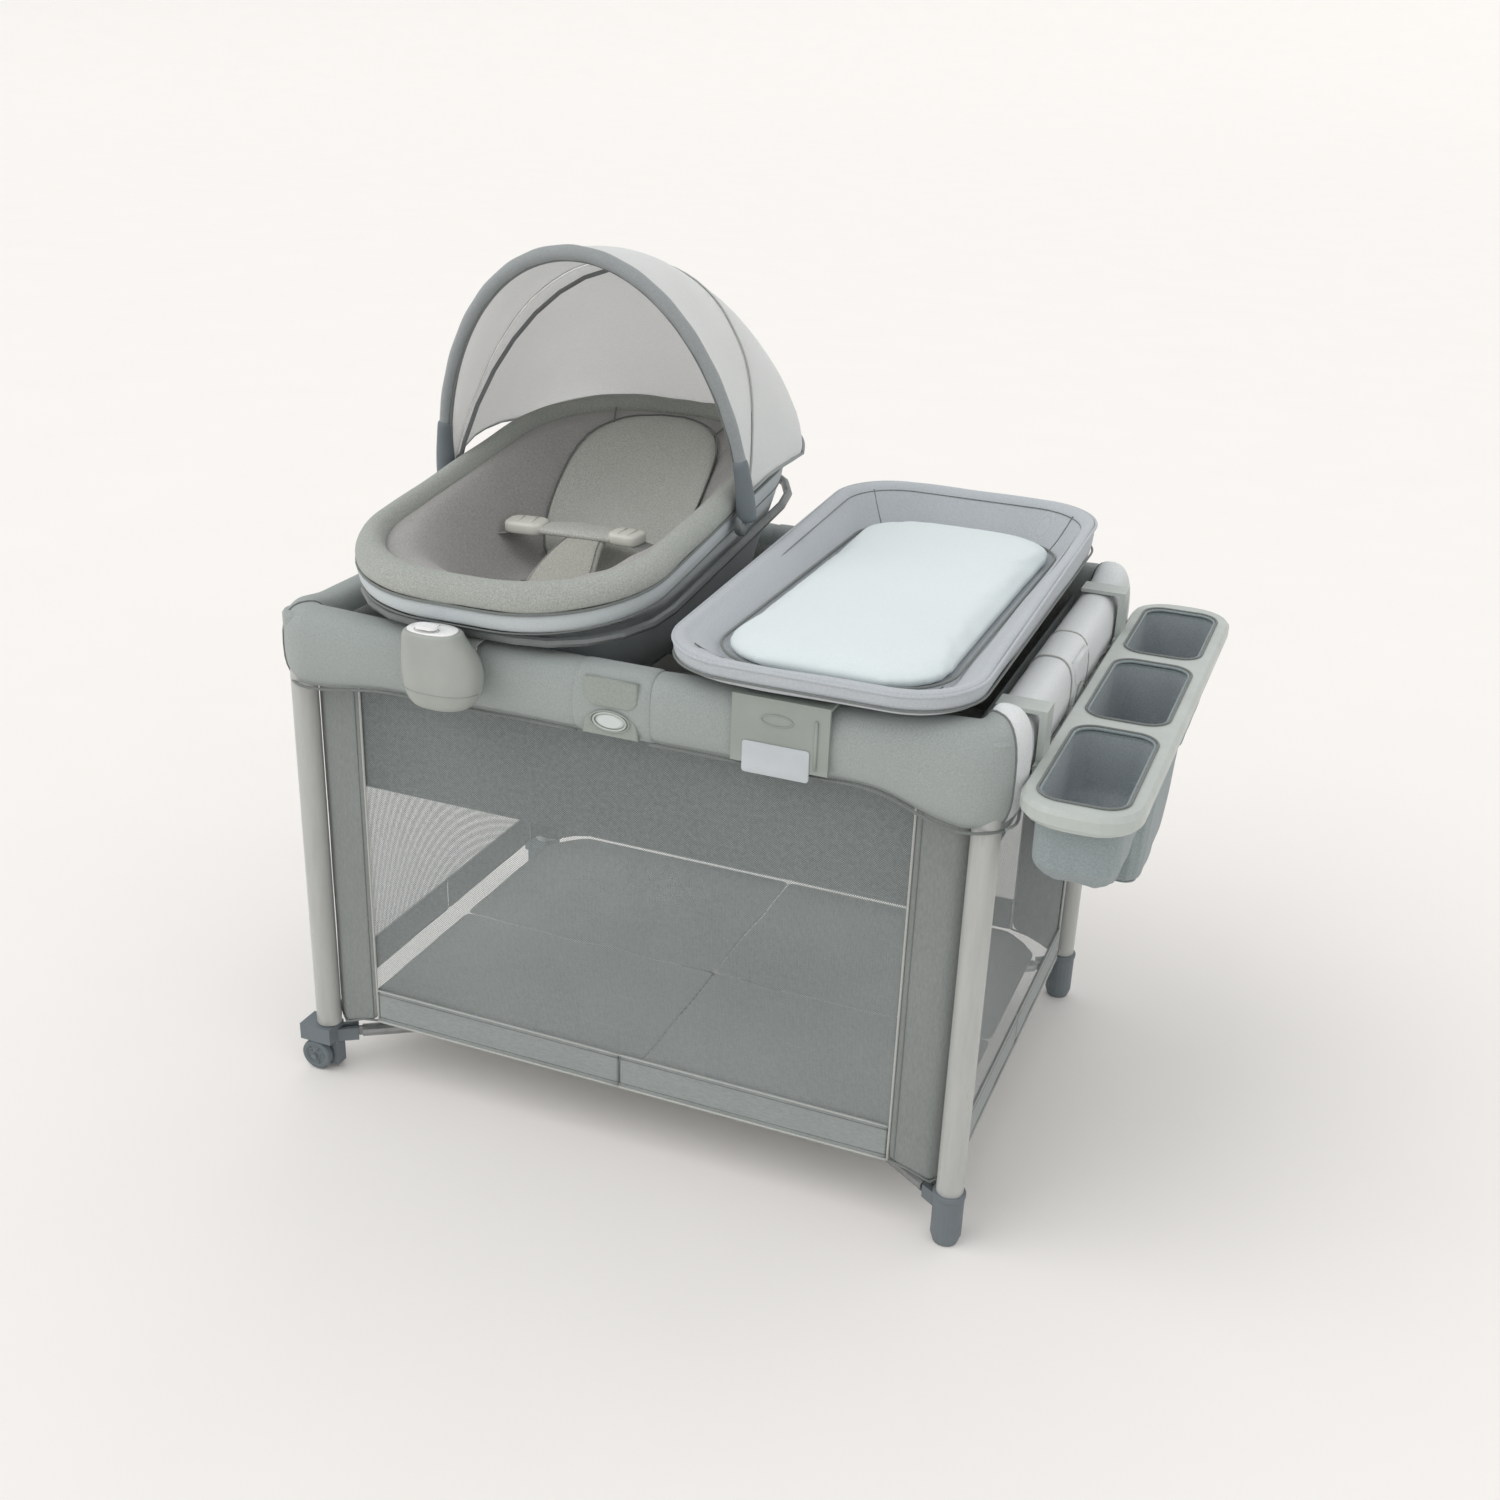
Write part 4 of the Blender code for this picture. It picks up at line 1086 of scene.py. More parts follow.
def seat_liner_surface():
    half_x, front, back, radius = RIM_INSIDE
    centre_y = (front + back) / 2
    outline = ring(SEAT.x, half_x + 0.001, front - 0.001, back + 0.001, radius, 0.0, 12, 8)
    rows = []
    for share in (1.0, 0.975, 0.94, 0.90, 0.85, 0.79, 0.72, 0.64, 0.55, 0.45, 0.34, 0.22, 0.10, 0.015):
        row = []
        for p in outline:
            x, y = SEAT.x + (p.x - SEAT.x) * share, centre_y + (p.y - centre_y) * share
            turn = atan2(y - centre_y, x - SEAT.x)
            fade = sin(pi * min(1.0, max(0.0, (1 - share) / 0.42)))
            gathers = 0.0030 * sin(turn * 23 + 2.0 * sin(turn * 5)) * fade
            crumple = grained((x, y, 0), 22, 0.004) * (1 - share)
            row.append(Vector((x, y, liner_height(x, y) + gathers + crumple)))
        rows.append(row)
    liner = soften(thicken(skin("seat_liner", rows, seat_liner, loop=True), 0.003, -1.0))
    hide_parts("seat_cushion")
    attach(liner, "seat")


def lying_pad(title, centre, half_x, half_y, thick, trim=None):
    """A crowned pad that lies on the seat's liner, with a pulled-in edge."""
    top, under = [], []
    for share in run(1.0, 0.03, 8):
        rise = thick * (1 - share ** 3.2) ** 0.62
        upper, lower = [], []
        for turn in turns(40):
            a, b = squared(turn, 2.4)
            x = centre[0] + half_x * a * share
            y = centre[1] + half_y * b * share
            if trim:
                x = trim(x, y)
            base = liner_height(x, y)
            upper.append(Vector((x, y, base + 0.007 + rise + grained((x, y, 4), 30, 0.002))))
            lower.append(Vector((x, y, base + 0.003)))
        top.append(upper)
        under.append(lower)
    rows = list(reversed(under)) + top
    made = soften(skin(title, rows, seat_pad_knit, loop=True, caps=True))
    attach(made, "seat")
    edge = [p + Vector((0, 0, 0.001)) for p in top[0]]
    seam = tube(f"{title}_seam", edge, 0.0013, piping_cloth, closed=True, sides=6)
    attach(seam, "seat")


def narrow_waist(x, y):
    """Draws the head pad in towards its lower end."""
    pull = 0.16 * eased((0.06 - y) / 0.10)
    return SEAT.x + (x - SEAT.x) * (1 - pull)


def seat_pads():
    lying_pad("head_pad", (SEAT.x, 0.125), 0.116, 0.150, 0.024, narrow_waist)
    lying_pad("lap_pad", (SEAT.x, -0.140), 0.095, 0.085, 0.014)
    for i, sign in enumerate((-1, 1)):
        path = []
        for step in run(0.0, 1.0, 14):
            x = SEAT.x + sign * between(0.082, 0.108, step)
            y = between(0.235, 0.300, step)
            path.append(Vector((x, y, liner_height(x, y) + 0.0035)))
        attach(tube(f"liner_seam_{i}", path, 0.0014, piping_cloth, sides=6), "seat")


def strip_along(name, path, width, thick, material, widths=None):
    """A flat strap along a path, with rounded edges. It lies level across its width."""
    rows = []
    count = len(path)
    for i, here in enumerate(path):
        here = Vector(here)
        way = (Vector(path[min(i + 1, count - 1)]) - Vector(path[max(i - 1, 0)])).normalized()
        across = way.cross(UP).normalized()
        normal = across.cross(way).normalized()
        half = (widths[i] if widths else width) / 2
        row = []
        for a, b in (
            (-1, 0), (-0.96, 0.7), (-0.8, 1), (0, 1.15), (0.8, 1), (0.96, 0.7), (1, 0), (0.96, -0.7),
            (0.8, -1), (0, -1), (-0.8, -1), (-0.96, -0.7),
        ):
            row.append(here + across * half * a + normal * thick / 2 * b)
        rows.append(row)
    made = soften(skin(name, rows, material, loop=True, caps=True))
    return made


BUCKLE_LEVELS = ((-1, 0.94), (-0.7, 1.0), (0.5, 1.0), (0.9, 0.93), (1.0, 0.80))  # height and size


def harness():
    """Waist straps with their pad and two buckles, and the crotch pad."""
    waist_y, waist_z = -0.012, 0.768

    def belt(x):
        bend = ((x - SEAT.x) / 0.16) ** 2
        arch = 1 - ((x - SEAT.x) / 0.17) ** 2
        return Vector((x, waist_y - 0.05 * bend * 0.3, waist_z - 0.012 + 0.020 * arch))

    left = [belt(x) for x in run(SEAT.x - 0.165, SEAT.x - 0.062, 9)]
    right = [belt(x) for x in run(SEAT.x + 0.045, SEAT.x + 0.160, 9)]
    left_strap = strip_along("waist_strap_left", left, 0.034, 0.0022, strap_web)
    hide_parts("seat_harness")
    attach(left_strap, "seat")
    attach(strip_along("waist_strap_right", right, 0.034, 0.0022, strap_web), "seat")
    centre = [belt(x) + Vector((0, 0, 0.002)) for x in run(SEAT.x - 0.078, SEAT.x + 0.056, 10)]
    widths = [0.038, 0.046, 0.053, 0.057, 0.060, 0.060, 0.059, 0.056, 0.051, 0.045, 0.038]
    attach(strip_along("waist_pad", centre, 0.045, 0.010, seat_pad_knit, widths), "seat")
    for title, x, turn in (("left", SEAT.x - 0.096, 0.10), ("right", SEAT.x + 0.062, -0.06)):
        place, spin = belt(x) + Vector((0, 0, 0.0065)), Matrix.Rotation(turn, 3, "Z")
        half = Vector((0.0300, 0.0235, 0.0080)) if title == "left" else Vector((0.0240, 0.0225, 0.0075))
        levels = []
        for z, s in BUCKLE_LEVELS:
            flat = [squared(t, 4) for t in turns(24)]
            levels.append(
                [place + spin @ Vector((half.x * a * s, half.y * b * s, half.z * z)) for a, b in flat]
            )
        buckle = skin(f"buckle_{title}", levels, buckle_pale, loop=True, caps=True)
        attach(buckle, "seat")
        for letter, shift in (("a", -0.34), ("b", 0.34)):
            bar = [
                place + spin @ Vector((half.x * shift, half.y * s, half.z * 1.02))
                for s in (-0.62, 0, 0.62)
            ]
            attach(tube(f"buckle_bar_{title}_{letter}", bar, 0.0016, buckle_pale), "seat")
    path, widths = [], []
    for step in run(0.0, 1.0, 12):
        y = between(-0.020, -0.190, step)
        x = SEAT.x + between(0.004, 0.012, step)
        hang = between(waist_z + 0.002, liner_height(x, -0.19) + 0.016, eased(step * 1.05))
        path.append(Vector((x, y, max(hang, liner_height(x, y) + 0.014))))
        widths.append(between(0.060, 0.096, eased(step * 1.6)))
    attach(strip_along("crotch_pad", path, 0.06, 0.013, strap_knit, widths), "seat")
    seam = [p + Vector((0, 0, 0.0073)) for p in path[1:-1]]
    for end, sign in ENDS:
        line = [p + Vector((sign * (w / 2 - 0.006), 0, -0.0006)) for p, w in zip(seam, widths[1:-1])]
        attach(tube(f"crotch_seam_{end}", line, 0.0007, piping_cloth, sides=5), "seat")


# ---------------------------------------------------------------- canopy

def hoop_point(half, rise, lean, share, start, grow=0.0, square=2.0):
    """A point on a hoop on the canopy pivots that leans back, and is squarer as square rises above 2."""
    turn = pi * (start + (1 - 2 * start) * share)
    across, high = squarish(turn, square)
    up = (rise + grow) * high
    return Vector((PIVOT.x + (half + grow) * across, up * sin(lean), PIVOT.z + up * cos(lean)))


HOOPS = (  # lean, half width, rise, start, clearance over the bow, squareness
    (-0.150, 0.2360, 0.3490, 0.075, 0.0060, 2.00),
    (-0.070, 0.2270, 0.3495, 0.038, 0.0045, 2.00),
    (0.040, 0.2265, 0.3475, 0.024, 0.0040, 2.00),
    (0.150, 0.2260, 0.3465, 0.020, 0.0050, 2.05),
    (0.290, 0.2250, 0.3440, 0.0185, 0.0070, 2.15),
    (0.420, 0.2240, 0.3390, 0.0185, 0.0085, 2.25),
    (0.560, 0.2215, 0.3375, 0.0213, 0.0095, 2.50),
    (0.720, 0.2225, 0.3355, 0.0224, 0.0100, 2.80),
    (0.860, 0.2250, 0.3340, 0.0240, 0.0110, 3.10),
    (1.000, 0.2280, 0.3330, 0.0340, 0.0110, 3.40),
    (1.130, 0.2300, 0.3325, 0.0490, 0.0110, 3.70),
    (1.250, 0.2320, 0.3340, 0.0800, 0.0110, 4.00),
    (1.360, 0.2330, 0.3350, 0.1500, 0.0110, 4.00),
)


CANOPY_STEPS = 40


def canopy_row(hoop):
    lean, half, rise, start, grow, square = hoop
    row = []
    for share in run(0.0, 1.0, CANOPY_STEPS):
        p = hoop_point(half, rise, lean, share, start, grow, square)
        away = (p - Vector((PIVOT.x, 0.06, PIVOT.z))).normalized()
        row.append(p + away * (grained(p, 7, 0.0045) + grained(p, 21, 0.0014)))
    return row


MID_HOOP = 5


def canopy():
    """One cloth over both bows, in two sections that meet at the middle bow."""
    hinge = Vector((PIVOT.x, 0, PIVOT.z))
    first = None
    for title, hoops in (("front", HOOPS[:MID_HOOP + 1]), ("rear", HOOPS[MID_HOOP:])):
        rows = [canopy_row(hoop) for hoop in hoops]
        cover = soften(thicken(skin(f"canopy_{title}", rows, canopy_outer, canopy_inner), 0.0022, -1.0, 1))
        first = first or cover
        blend_canopy(cover, title)
        if title == "rear":
            edge = tube("canopy_rear_hem", rows[-1], 0.0028, bow_sleeve)
            blend_canopy(edge, title)
        else:
            line = [p + (p - hinge).normalized() * 0.0006 for p in rows[-1]]
            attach(tube("canopy_mid_seam", line, 0.0015, pale_piping, sides=6), "canopy_mid")
        for end, place in (("right", 0), ("left", -1)):
            hem = tube(f"canopy_side_hem_{title}_{end}", [row[place] for row in rows], 0.0022, bow_sleeve)
            blend_canopy(hem, title)
    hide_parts("canopy_fabric")


def blend_canopy(obj, title):
    if title == "front":
        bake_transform(obj)
    else:
        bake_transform(obj)


FRONT_BOW = (0.236, 0.350, -0.150)  # half width, rise and lean


def canopy_bow_sleeve():
    """The padded sleeve over the front bow, with a moulded foot at each pivot."""
    shares = run(0.0, 1.0, 60)
    path = [hoop_point(*FRONT_BOW, share, 0.055, 0.0015) for share in shares]
    radii = [0.0085 + 0.0018 * sin(pi * share) ** 2 + 0.0005 * sin(share * 90) for share in shares]
    sleeve = soften(tube("front_bow_sleeve", path, radii, bow_sleeve, sides=12))
    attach(sleeve, "canopy_front")
    line = [hoop_point(*FRONT_BOW, share, 0.06, -0.0085) for share in shares]
    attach(tube("front_bow_binding", line, 0.0024, piping_cloth), "canopy_front")
    for end, sign in ENDS:
        path, radii = [], []
        for step in run(0.0, 1.0, 8):
            share = between(0.003, 0.095, step) / FRONT_BOW[1] / pi
            path.append(hoop_point(*FRONT_BOW, share if sign > 0 else 1 - share, 0.0, 0.001))
            radii.append(between(0.0150, 0.0112, eased(step)))
        foot = soften(tube(f"bow_foot_{end}", path, radii, dark_plastic, sides=12))
        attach(foot, "canopy_front")
        hub = []
        for x, r in (
            (0.0, 0.0), (0.0, 0.012), (0.0012, 0.0165), (0.004, 0.0178), (0.010, 0.0178),
            (0.0125, 0.0160), (0.0135, 0.010),
        ):
            reach, r = PIVOT.x + sign * (0.2235 + x), r + 1e-4
            hub.append([Vector((reach, r * cos(t), PIVOT.z + r * sin(t))) for t in turns(32)])
        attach(skin(f"bow_hub_{end}", hub, bow_steel_and_shade, loop=True, caps=True), "canopy_mid")


# ---------------------------------------------------------------- soothing module on the front rail

def module_outline(x, centre_y, half, depth, z, count=40):
    """A level ring of the module's body, a rounded rectangle drawn as a superellipse."""
    flat = [squared(turn, 2.4) for turn in turns(count)]
    return [Vector((x + half * a, centre_y + depth * b, z)) for a, b in flat]


def module():
    """The soothing unit: a soft-cornered body whose right shoulder falls away from an oval crown."""
    front, back = MODULE_LOW.y, -LEG_Y - COVER_HALF - 0.0015
    depth, centre_y = (back - front) / 2, (back + front) / 2
    body_x, crown_x, button = MODULE.x + 0.001, MODULE.x - 0.009, middle("module_button")
    low, high = MODULE_LOW.z, MODULE_HIGH.z
    levels = (
        (0.0010, body_x, 0.030, 0.60), (0.0030, body_x, 0.0375, 0.74), (0.0085, body_x, 0.0450, 0.88),
        (0.0200, body_x, 0.0510, 0.97), (0.0340, body_x, 0.0540, 1.0), (0.0480, body_x, 0.0548, 1.0),
        (0.0600, body_x - 0.001, 0.0530, 0.99), (0.0700, body_x - 0.0035, 0.0500, 0.97),
        (0.0800, body_x - 0.0065, 0.0458, 0.93), (0.0890, crown_x, 0.0418, 0.89),
        (0.0945, crown_x, 0.0398, 0.86), (0.0978, crown_x, 0.0380, 0.83),
        (0.0994, crown_x, 0.0345, 0.76), (0.0999, crown_x, 0.0250, 0.55),
        (0.0999, crown_x, 0.0080, 0.18),
    )
    scale = (high - low) / 0.1
    rows = [module_outline(x, centre_y - 0.014 * (1 - share), half, depth * share, low + up * scale)
            for up, x, half, share in levels]
    shell = soften(skin("module_shell", rows, module_plastic, loop=True, caps=True))
    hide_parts("soothing_module")
    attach(shell, "seat")
    face_y = centre_y - 0.003
    plate = [
        module_outline(crown_x, face_y, half, deep, high + up)
        for half, deep, up in (
            (0.0335, 0.0218, -0.0008), (0.0335, 0.0218, 0.0004), (0.0325, 0.0210, 0.0008),
            (0.0200, 0.0130, 0.0009),
        )
    ]
    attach(skin("module_face", plate, button_white, loop=True, caps=True), "seat")
    dot = ((0.0010, 0.0), (0.0014, 0.0004), (0.0008, 0.0007))
    for i in range(6):
        mark_x, mark_y = crown_x - 0.015 + 0.0085 * (i % 3), face_y + 0.0085 + 0.0045 * (i // 3)
        mark = lathe(f"module_mark_{i}", (mark_x, mark_y, high + 0.0008), dot, grey_plastic, 12)
        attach(mark, "seat")
    collar = [Vector((button.x + 0.0168 * cos(t), button.y + 0.0106 * sin(t), high + 0.0009))
              for t in turns(36)]
    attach(tube("module_dial", collar, 0.0007, grey_plastic, closed=True, sides=6), "seat")
    seam = module_outline(body_x, centre_y, 0.0520, depth * 0.985, low + 0.0245, 60)[31:60]
    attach(tube("module_seam", seam, 0.0006, clip_plastic, sides=5), "seat")
    rail_face = -LEG_Y - COVER_HALF - 0.0022
    hook = [
        (rail_face, low + 0.050), (rail_face, COVER_HIGH - 0.006),
        (rail_face + 0.004, COVER_HIGH + 0.0030), (-LEG_Y - 0.010, COVER_HIGH + 0.0050),
        (-LEG_Y + 0.022, COVER_HIGH + 0.0046), (-LEG_Y + COVER_HALF + 0.0024, COVER_HIGH - 0.0005),
        (-LEG_Y + COVER_HALF + 0.0030, COVER_HIGH - 0.016),
    ]
    rows = []
    for x, pull in ((-0.0295, 0.0006), (-0.0285, 0.0), (0.0285, 0.0), (0.0295, 0.0006)):
        rows.append([Vector((body_x + x, y, z - pull)) for y, z in hook])
    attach(thicken(skin("module_hook", rows, module_plastic), 0.0022, 0.0), "seat")


# ---------------------------------------------------------------- changing tray

def tray_rim(drop=0.0):
    slope = 0.05
    return lambda y: TRAY_HIGH.z - 0.0192 - drop + slope * y


def tray_radius(inset):
    return max(0.03, 0.095 - 0.55 * inset)


def tray_ring(inset, height):
    return inset_ring(TRAY.x, TRAY_HALF.x, TRAY_HALF.y, inset, tray_radius(inset), height, 12, 12)


def changer():
    low = TRAY_LOW.z
    floor_z = PAD_LOW.z - 0.0008

    def rising(foot, share):
        """A height that is this share of the way from foot up to the rim."""
        return lambda y: between(foot, tray_rim()(y), share)

    levels = [(0.060, low + 0.0008), (0.030, low + 0.0012), (0.012, rising(low + 0.004, 0.08))]
    levels += [
        (inset, rising(low, share)) for inset, share in ((0.0040, 0.30), (0.0010, 0.58), (0.0002, 0.80))
    ]
    levels += [(inset, tray_rim(drop)) for inset, drop in (
        (0.0004, 0.0045), (0.0030, 0.0008), (0.0085, 0.0002), (0.0140, 0.0030), (0.0185, 0.0085))]
    levels += [
        (inset, rising(floor_z, share))
        for inset, share in ((0.0260, 0.62), (0.0360, 0.34), (0.0455, 0.12))
    ]
    levels += [(0.0530, floor_z + 0.0004), (0.0700, floor_z)]
    rings = [tray_ring(inset, height) for inset, height in levels]
    for row in rings[2:-2]:
        for p in row:
            p.x += grained(p, 10, 0.0022) - (0.0008 if p.x > TRAY.x else -0.0008)
            p.z += grained(p + Vector((0, 4, 0)), 12, 0.0022)
    tray = soften(skin("tray_cloth_shell", rings, tray_cloth, loop=True, caps=True))
    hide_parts("changer_tray")
    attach(tray, "changer")
    rim_line = [p + Vector((0, 0, 0.0004)) for p in tray_ring(0.0004, tray_rim(0.0050))]
    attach(tube("tray_rim_piping", rim_line, 0.0022, tray_cloth, closed=True), "changer")
    low_line = tray_ring(0.0016, rising(low, 0.42))
    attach(tube("tray_low_piping", low_line, 0.0017, piping_cloth, closed=True), "changer")
    inner_line = tray_ring(0.0200, tray_rim(0.0105))
    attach(tube("tray_inner_seam", inner_line, 0.0008, piping_cloth, closed=True, sides=5), "changer")
    for end, sx in ENDS:
        for side, sy in SIDES:
            path = []
            for inset, share in (
                (0.0185, 0.86), (0.0260, 0.62), (0.0360, 0.34), (0.0455, 0.12), (0.0520, 0.02)
            ):
                in_corner = inset + tray_radius(inset) * (1 - sqrt(0.5))
                x, y = TRAY.x + sx * (TRAY_HALF.x - in_corner), sy * (TRAY_HALF.y - in_corner)
                path.append(Vector((x, y, rising(floor_z, share)(y) + 0.0008)))
            seam = tube(f"tray_corner_seam_{end[0]}{side[0]}", path, 0.0011, piping_cloth, sides=6)
            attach(seam, "changer")
    pad_on_tray()
    clips()


def pad_on_tray():
    """A crowned pad: pulled-in sides, a low dome, and a stitched edge."""
    start = 0.004
    half_x, half_y = PAD_HALF.x + 0.004, PAD_HALF.y + 0.004
    low = PAD_LOW.z + 0.0004
    thick = PAD_HIGH.z - PAD_LOW.z
    rows = []
    for inset, share in (
        (0.060, 0.0), (0.012, 0.0), (0.0015, 0.16), (0.0, 0.38), (0.0025, 0.62), (0.012, 0.82),
        (0.030, 0.95), (0.060, 1.03), (0.100, 1.08), (0.130, 1.10),
    ):
        pull = inset + start
        bend = max(0.008, 0.088 - 0.6 * pull)
        rows.append(inset_ring(PAD.x, half_x, half_y, pull, bend, low + thick * share, 10, 10))
    pad = skin("changing_pad", rows, pad_cover, loop=True, caps=True)
    inflate(pad, 0.007, 2.0, 0.0065)
    if not pad.modifiers:
        soften(pad)
    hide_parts("changer_pad")
    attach(pad, "changer")
    seam = inset_ring(PAD.x, half_x, half_y, -0.0004, 0.088, low + thick * 0.36, 10, 10)
    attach(tube("pad_edge_piping", seam, 0.0019, piping_cloth, closed=True), "changer")


def clips():
    for side, sy in SIDES:
        node = f"changer_clip_{side}"
        dress(node, clip_plastic, 0.0045, 3)
        low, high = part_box(node)
        face = low.y if sy < 0 else high.y
        centre = (low.x + high.x) / 2
        out = sy * 0.0008
        ridge = [(high.x - 0.016, face + out, z) for z in (low.z + 0.006, low.z + 0.03, high.z - 0.018)]
        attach(tube(f"clip_ridge_{side}", ridge, 0.0022, clip_plastic), "changer")
        oval = [
            Vector((centre - 0.004 + 0.020 * cos(t), face + out * 0.6, low.z + 0.060 + 0.0072 * sin(t)))
            for t in turns(36)
        ]
        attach(tube(f"clip_oval_{side}", oval, 0.0009, clip_plastic, closed=True, sides=6), "changer")
        if side == "front":
            clip_label(low.x + 0.015, low.x + 0.101, low.z - 0.012, low.z + 0.029, face)


def clip_label(left, right, low, high, face):
    """A blank pale label, slightly curved, with a fine raised border."""
    rows = []
    radius = 0.004
    corners = (
        (right - radius, high - radius, 0), (left + radius, high - radius, 1),
        (left + radius, low + radius, 2), (right - radius, low + radius, 3),
    )
    outline = [
        (cx + radius * cos((q + s) * pi / 2), cz + radius * sin((q + s) * pi / 2))
        for cx, cz, q in corners for s in (0, 0.33, 0.67, 1)
    ]
    mid_x, mid_z = (left + right) / 2, (low + high) / 2
    for share, out in ((1.0, 0.0002), (1.0, 0.0011), (0.97, 0.0016), (0.5, 0.0017)):
        row = []
        for x, z in outline:
            bow = 0.0010 * (1 - ((x - mid_x) / (right - mid_x)) ** 2 * share)
            row.append(Vector((mid_x + (x - mid_x) * share, face - out - bow, mid_z + (z - mid_z) * share)))
        rows.append(row)
    label = skin("clip_label", rows, label_film, loop=True, caps=True)
    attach(label, "changer")


# ---------------------------------------------------------------- organizer

BAYS = (
    ("front", -0.255, 0.118, 0.555), ("middle", 0.010, 0.115, POCKET_LOW.z),
    ("rear", 0.262, 0.105, 0.520),
)


def organizer():
    dress("organizer_frame", grey_plastic, 0.0030, 3)
    centre_x = (POCKET_LOW.x + POCKET_HIGH.x) / 2
    rim_z = POCKET_HIGH.z
    under = ORGANIZER_LOW.z
    first = None
    for name, y, half_y, bottom in BAYS:
        rings = []

        def level(half_x, length, z, radius, slack=0.0):
            row = ring(centre_x, half_x, y - length, y + length, radius, z, 8, 8)
            for i, p in enumerate(row):
                away = Vector((p.x - centre_x, p.y - y, 0)).normalized()
                crease = sin(i * 1.9 + 6 * p.z) * 0.5 + grained(p, 26, 1.2)
                row[i] = p + away * slack * crease + UP * slack * 0.5 * sin(i * 0.7)
            return row

        outer = (
            (0.0514, half_y - 0.0016, rim_z - 0.0005, 0.0),
            (0.0516, half_y - 0.0014, under + 0.004, 0.0),
            (0.0512, half_y - 0.0018, under - 0.012, 0.0006),
            (0.0510, half_y - 0.0020, under - 0.030, 0.0014),
        )
        for half_x, length, z, slack in outer:
            rings.append(level(half_x, length, z, 0.028, slack))
        for share in (0.15, 0.32, 0.5, 0.68, 0.84, 0.95):
            bulge = 0.0035 * sin(pi * share)
            rings.append(
                level(
                    between(0.0510, 0.041, share) + bulge * 0.4,
                    between(half_y - 0.002, half_y - 0.027, share) + bulge,
                    between(under - 0.03, bottom + 0.004, share), 0.026 - 0.006 * share, 0.0024,
                )
            )
        rings.append(level(0.036, half_y - 0.033, bottom + 0.0015, 0.018, 0.001))
        rings.append(level(0.020, half_y - 0.055, bottom + 0.0005, 0.012, 0.0))
        bag = thicken(
            skin(f"pocket_{name}", rings, pocket_cloth, pocket_lining, loop=True), 0.0018, -1.0, 1
        )
        floor = [
            level(0.036 * s, (half_y - 0.034) * s, bottom + 0.0028, 0.016 * s + 0.001)
            for s in (1.0, 0.6, 0.1)
        ]
        base = thicken(skin(f"pocket_floor_{name}", floor, pocket_lining, loop=True), 0.0012)
        soften(bag)
        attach(bag, "organizer")
        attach(base, "organizer")
        first = first or bag
        piping = ring(centre_x, 0.0530, y - half_y, y + half_y, 0.030, rim_z + 0.0002, 8, 8)
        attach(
            tube(f"pocket_piping_{name}", piping, 0.0017, piping_cloth, closed=True, sides=6),
            "organizer",
        )
        lip = ring(centre_x, 0.0500, y - half_y + 0.003, y + half_y - 0.003, 0.027, rim_z - 0.0022, 8, 8)
        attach(tube(f"pocket_lip_{name}", lip, 0.0022, pocket_cloth, closed=True, sides=6), "organizer")
    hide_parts("organizer_pockets")


# ---------------------------------------------------------------- floor, light and camera

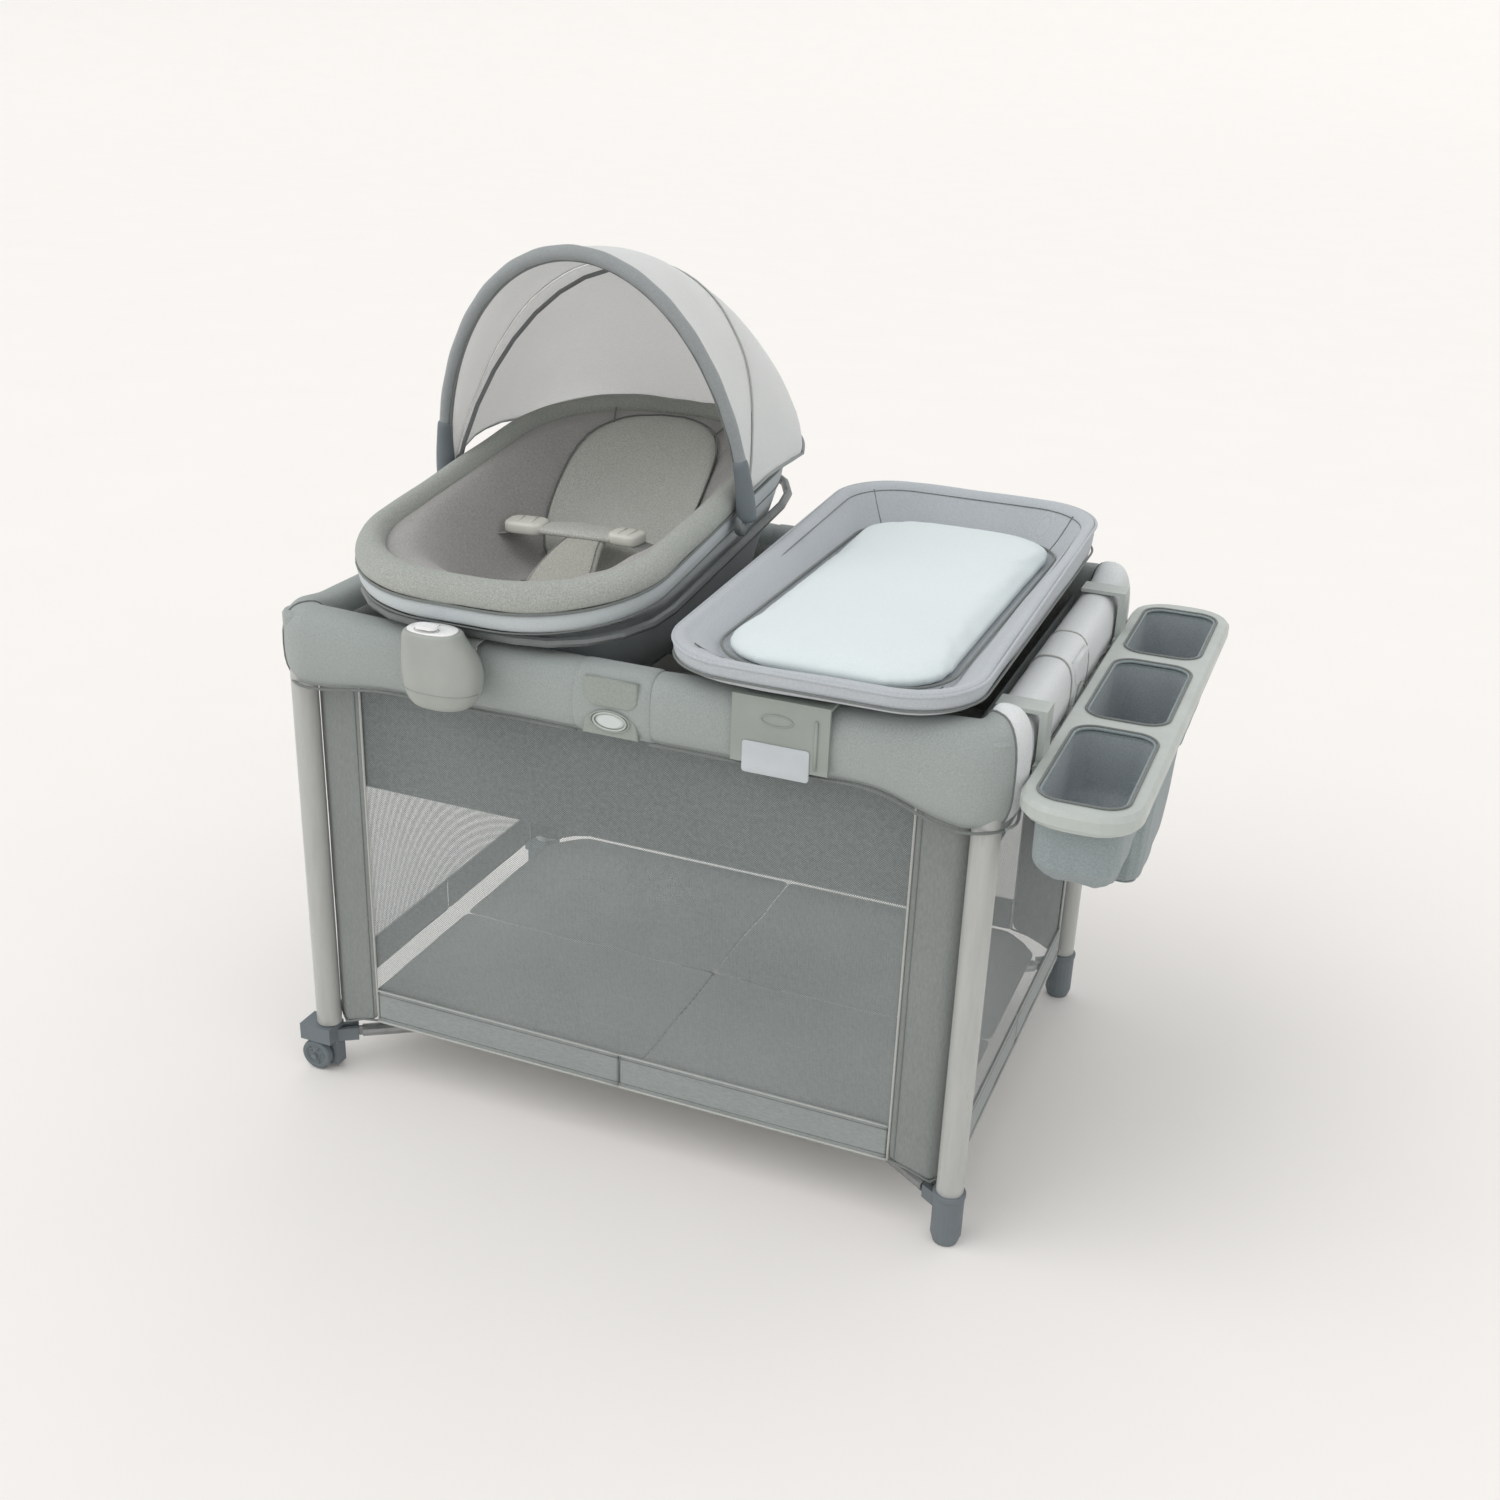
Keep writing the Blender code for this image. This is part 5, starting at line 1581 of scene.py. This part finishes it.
def stage():
    """A pale floor that sweeps up far away, under a soft studio sky with one broad key from the left."""
    rows = []
    for reach, rise in (
        (0.001, 0.0), (8.0, 0.0), (24.0, 0.0), (27.0, 0.35), (30.0, 1.2), (33.0, 2.9), (36.0, 6.0)
    ):
        rows.append([Vector((reach * cos(t), reach * sin(t), rise - 0.0006)) for t in turns(64)])
    graph = Graph("studio_floor", 0.9, Specular_IOR_Level=0.1)
    cloud = graph.span(graph.noise(3.0, 2.0), 0.3, 0.7, 0, 1)
    graph.colour(graph.mix(cloud, (0.925, 0.897, 0.872, 1), (0.935, 0.907, 0.882, 1)))
    graph.bump(graph.noise(200.0), 0.03, 0.0003)
    skin("floor", rows, graph.material, loop=True)
    world = bpy.data.worlds.new("studio")
    bpy.context.scene.world = world
    world.use_nodes = True
    background = world.node_tree.nodes["Background"]
    background.inputs[0].default_value = (0.955, 0.958, 0.955, 1.0)
    background.inputs[1].default_value = 0.74
    suns = (
        ("key", (-1.9, -1.5, 2.7), 0.92, 55, (1.0, 0.995, 0.985)),
        ("fill", (1.6, -1.6, 2.4), 0.22, 70, (0.98, 0.99, 1.0)),
        ("back", (0.4, 2.6, 2.6), 0.22, 60, (1.0, 1.0, 1.0)),
    )
    for name, way, strength, spread, colour in suns:
        lamp = bpy.data.lights.new(name, "SUN")
        lamp.energy = strength
        lamp.angle = radians(spread)
        lamp.color = colour
        made = bpy.data.objects.new(name, lamp)
        made.location = way
        made.rotation_mode = "QUATERNION"
        made.rotation_quaternion = (-Vector(way)).to_track_quat("-Z", "Y")
        bpy.context.scene.collection.objects.link(made)


def camera():
    azimuth, elevation, roll = radians(21.12), radians(23.67), radians(2.24)
    distance, target = 2.546, Vector((0.017, 0.072, 0.450))
    back = Vector((sin(azimuth) * cos(elevation), -cos(azimuth) * cos(elevation), sin(elevation)))
    right = Vector((cos(azimuth), sin(azimuth), 0))
    up = back.cross(right)
    turned_right = right * cos(roll) + up * sin(roll)
    turned_up = up * cos(roll) - right * sin(roll)
    lens = bpy.data.cameras.new("camera")
    lens.sensor_width = 36
    lens.lens = 40.72
    made = bpy.data.objects.new("camera", lens)
    made.matrix_world = Matrix((
        (turned_right.x, turned_up.x, back.x, target.x + back.x * distance),
        (turned_right.y, turned_up.y, back.y, target.y + back.y * distance),
        (turned_right.z, turned_up.z, back.z, target.z + back.z * distance),
        (0, 0, 0, 1),
    ))
    bpy.context.scene.collection.objects.link(made)
    bpy.context.scene.camera = made
    bpy.context.scene.view_settings.view_transform = "Standard"


frame_parts()
legs()
wheels()
rail_sleeves()
yard_cloth()
bassinet()
seat_band_shell()
padded_rim()
seat_liner_surface()
seat_pads()
harness()
canopy()
canopy_bow_sleeve()
module()
changer()
organizer()
stage()
camera()
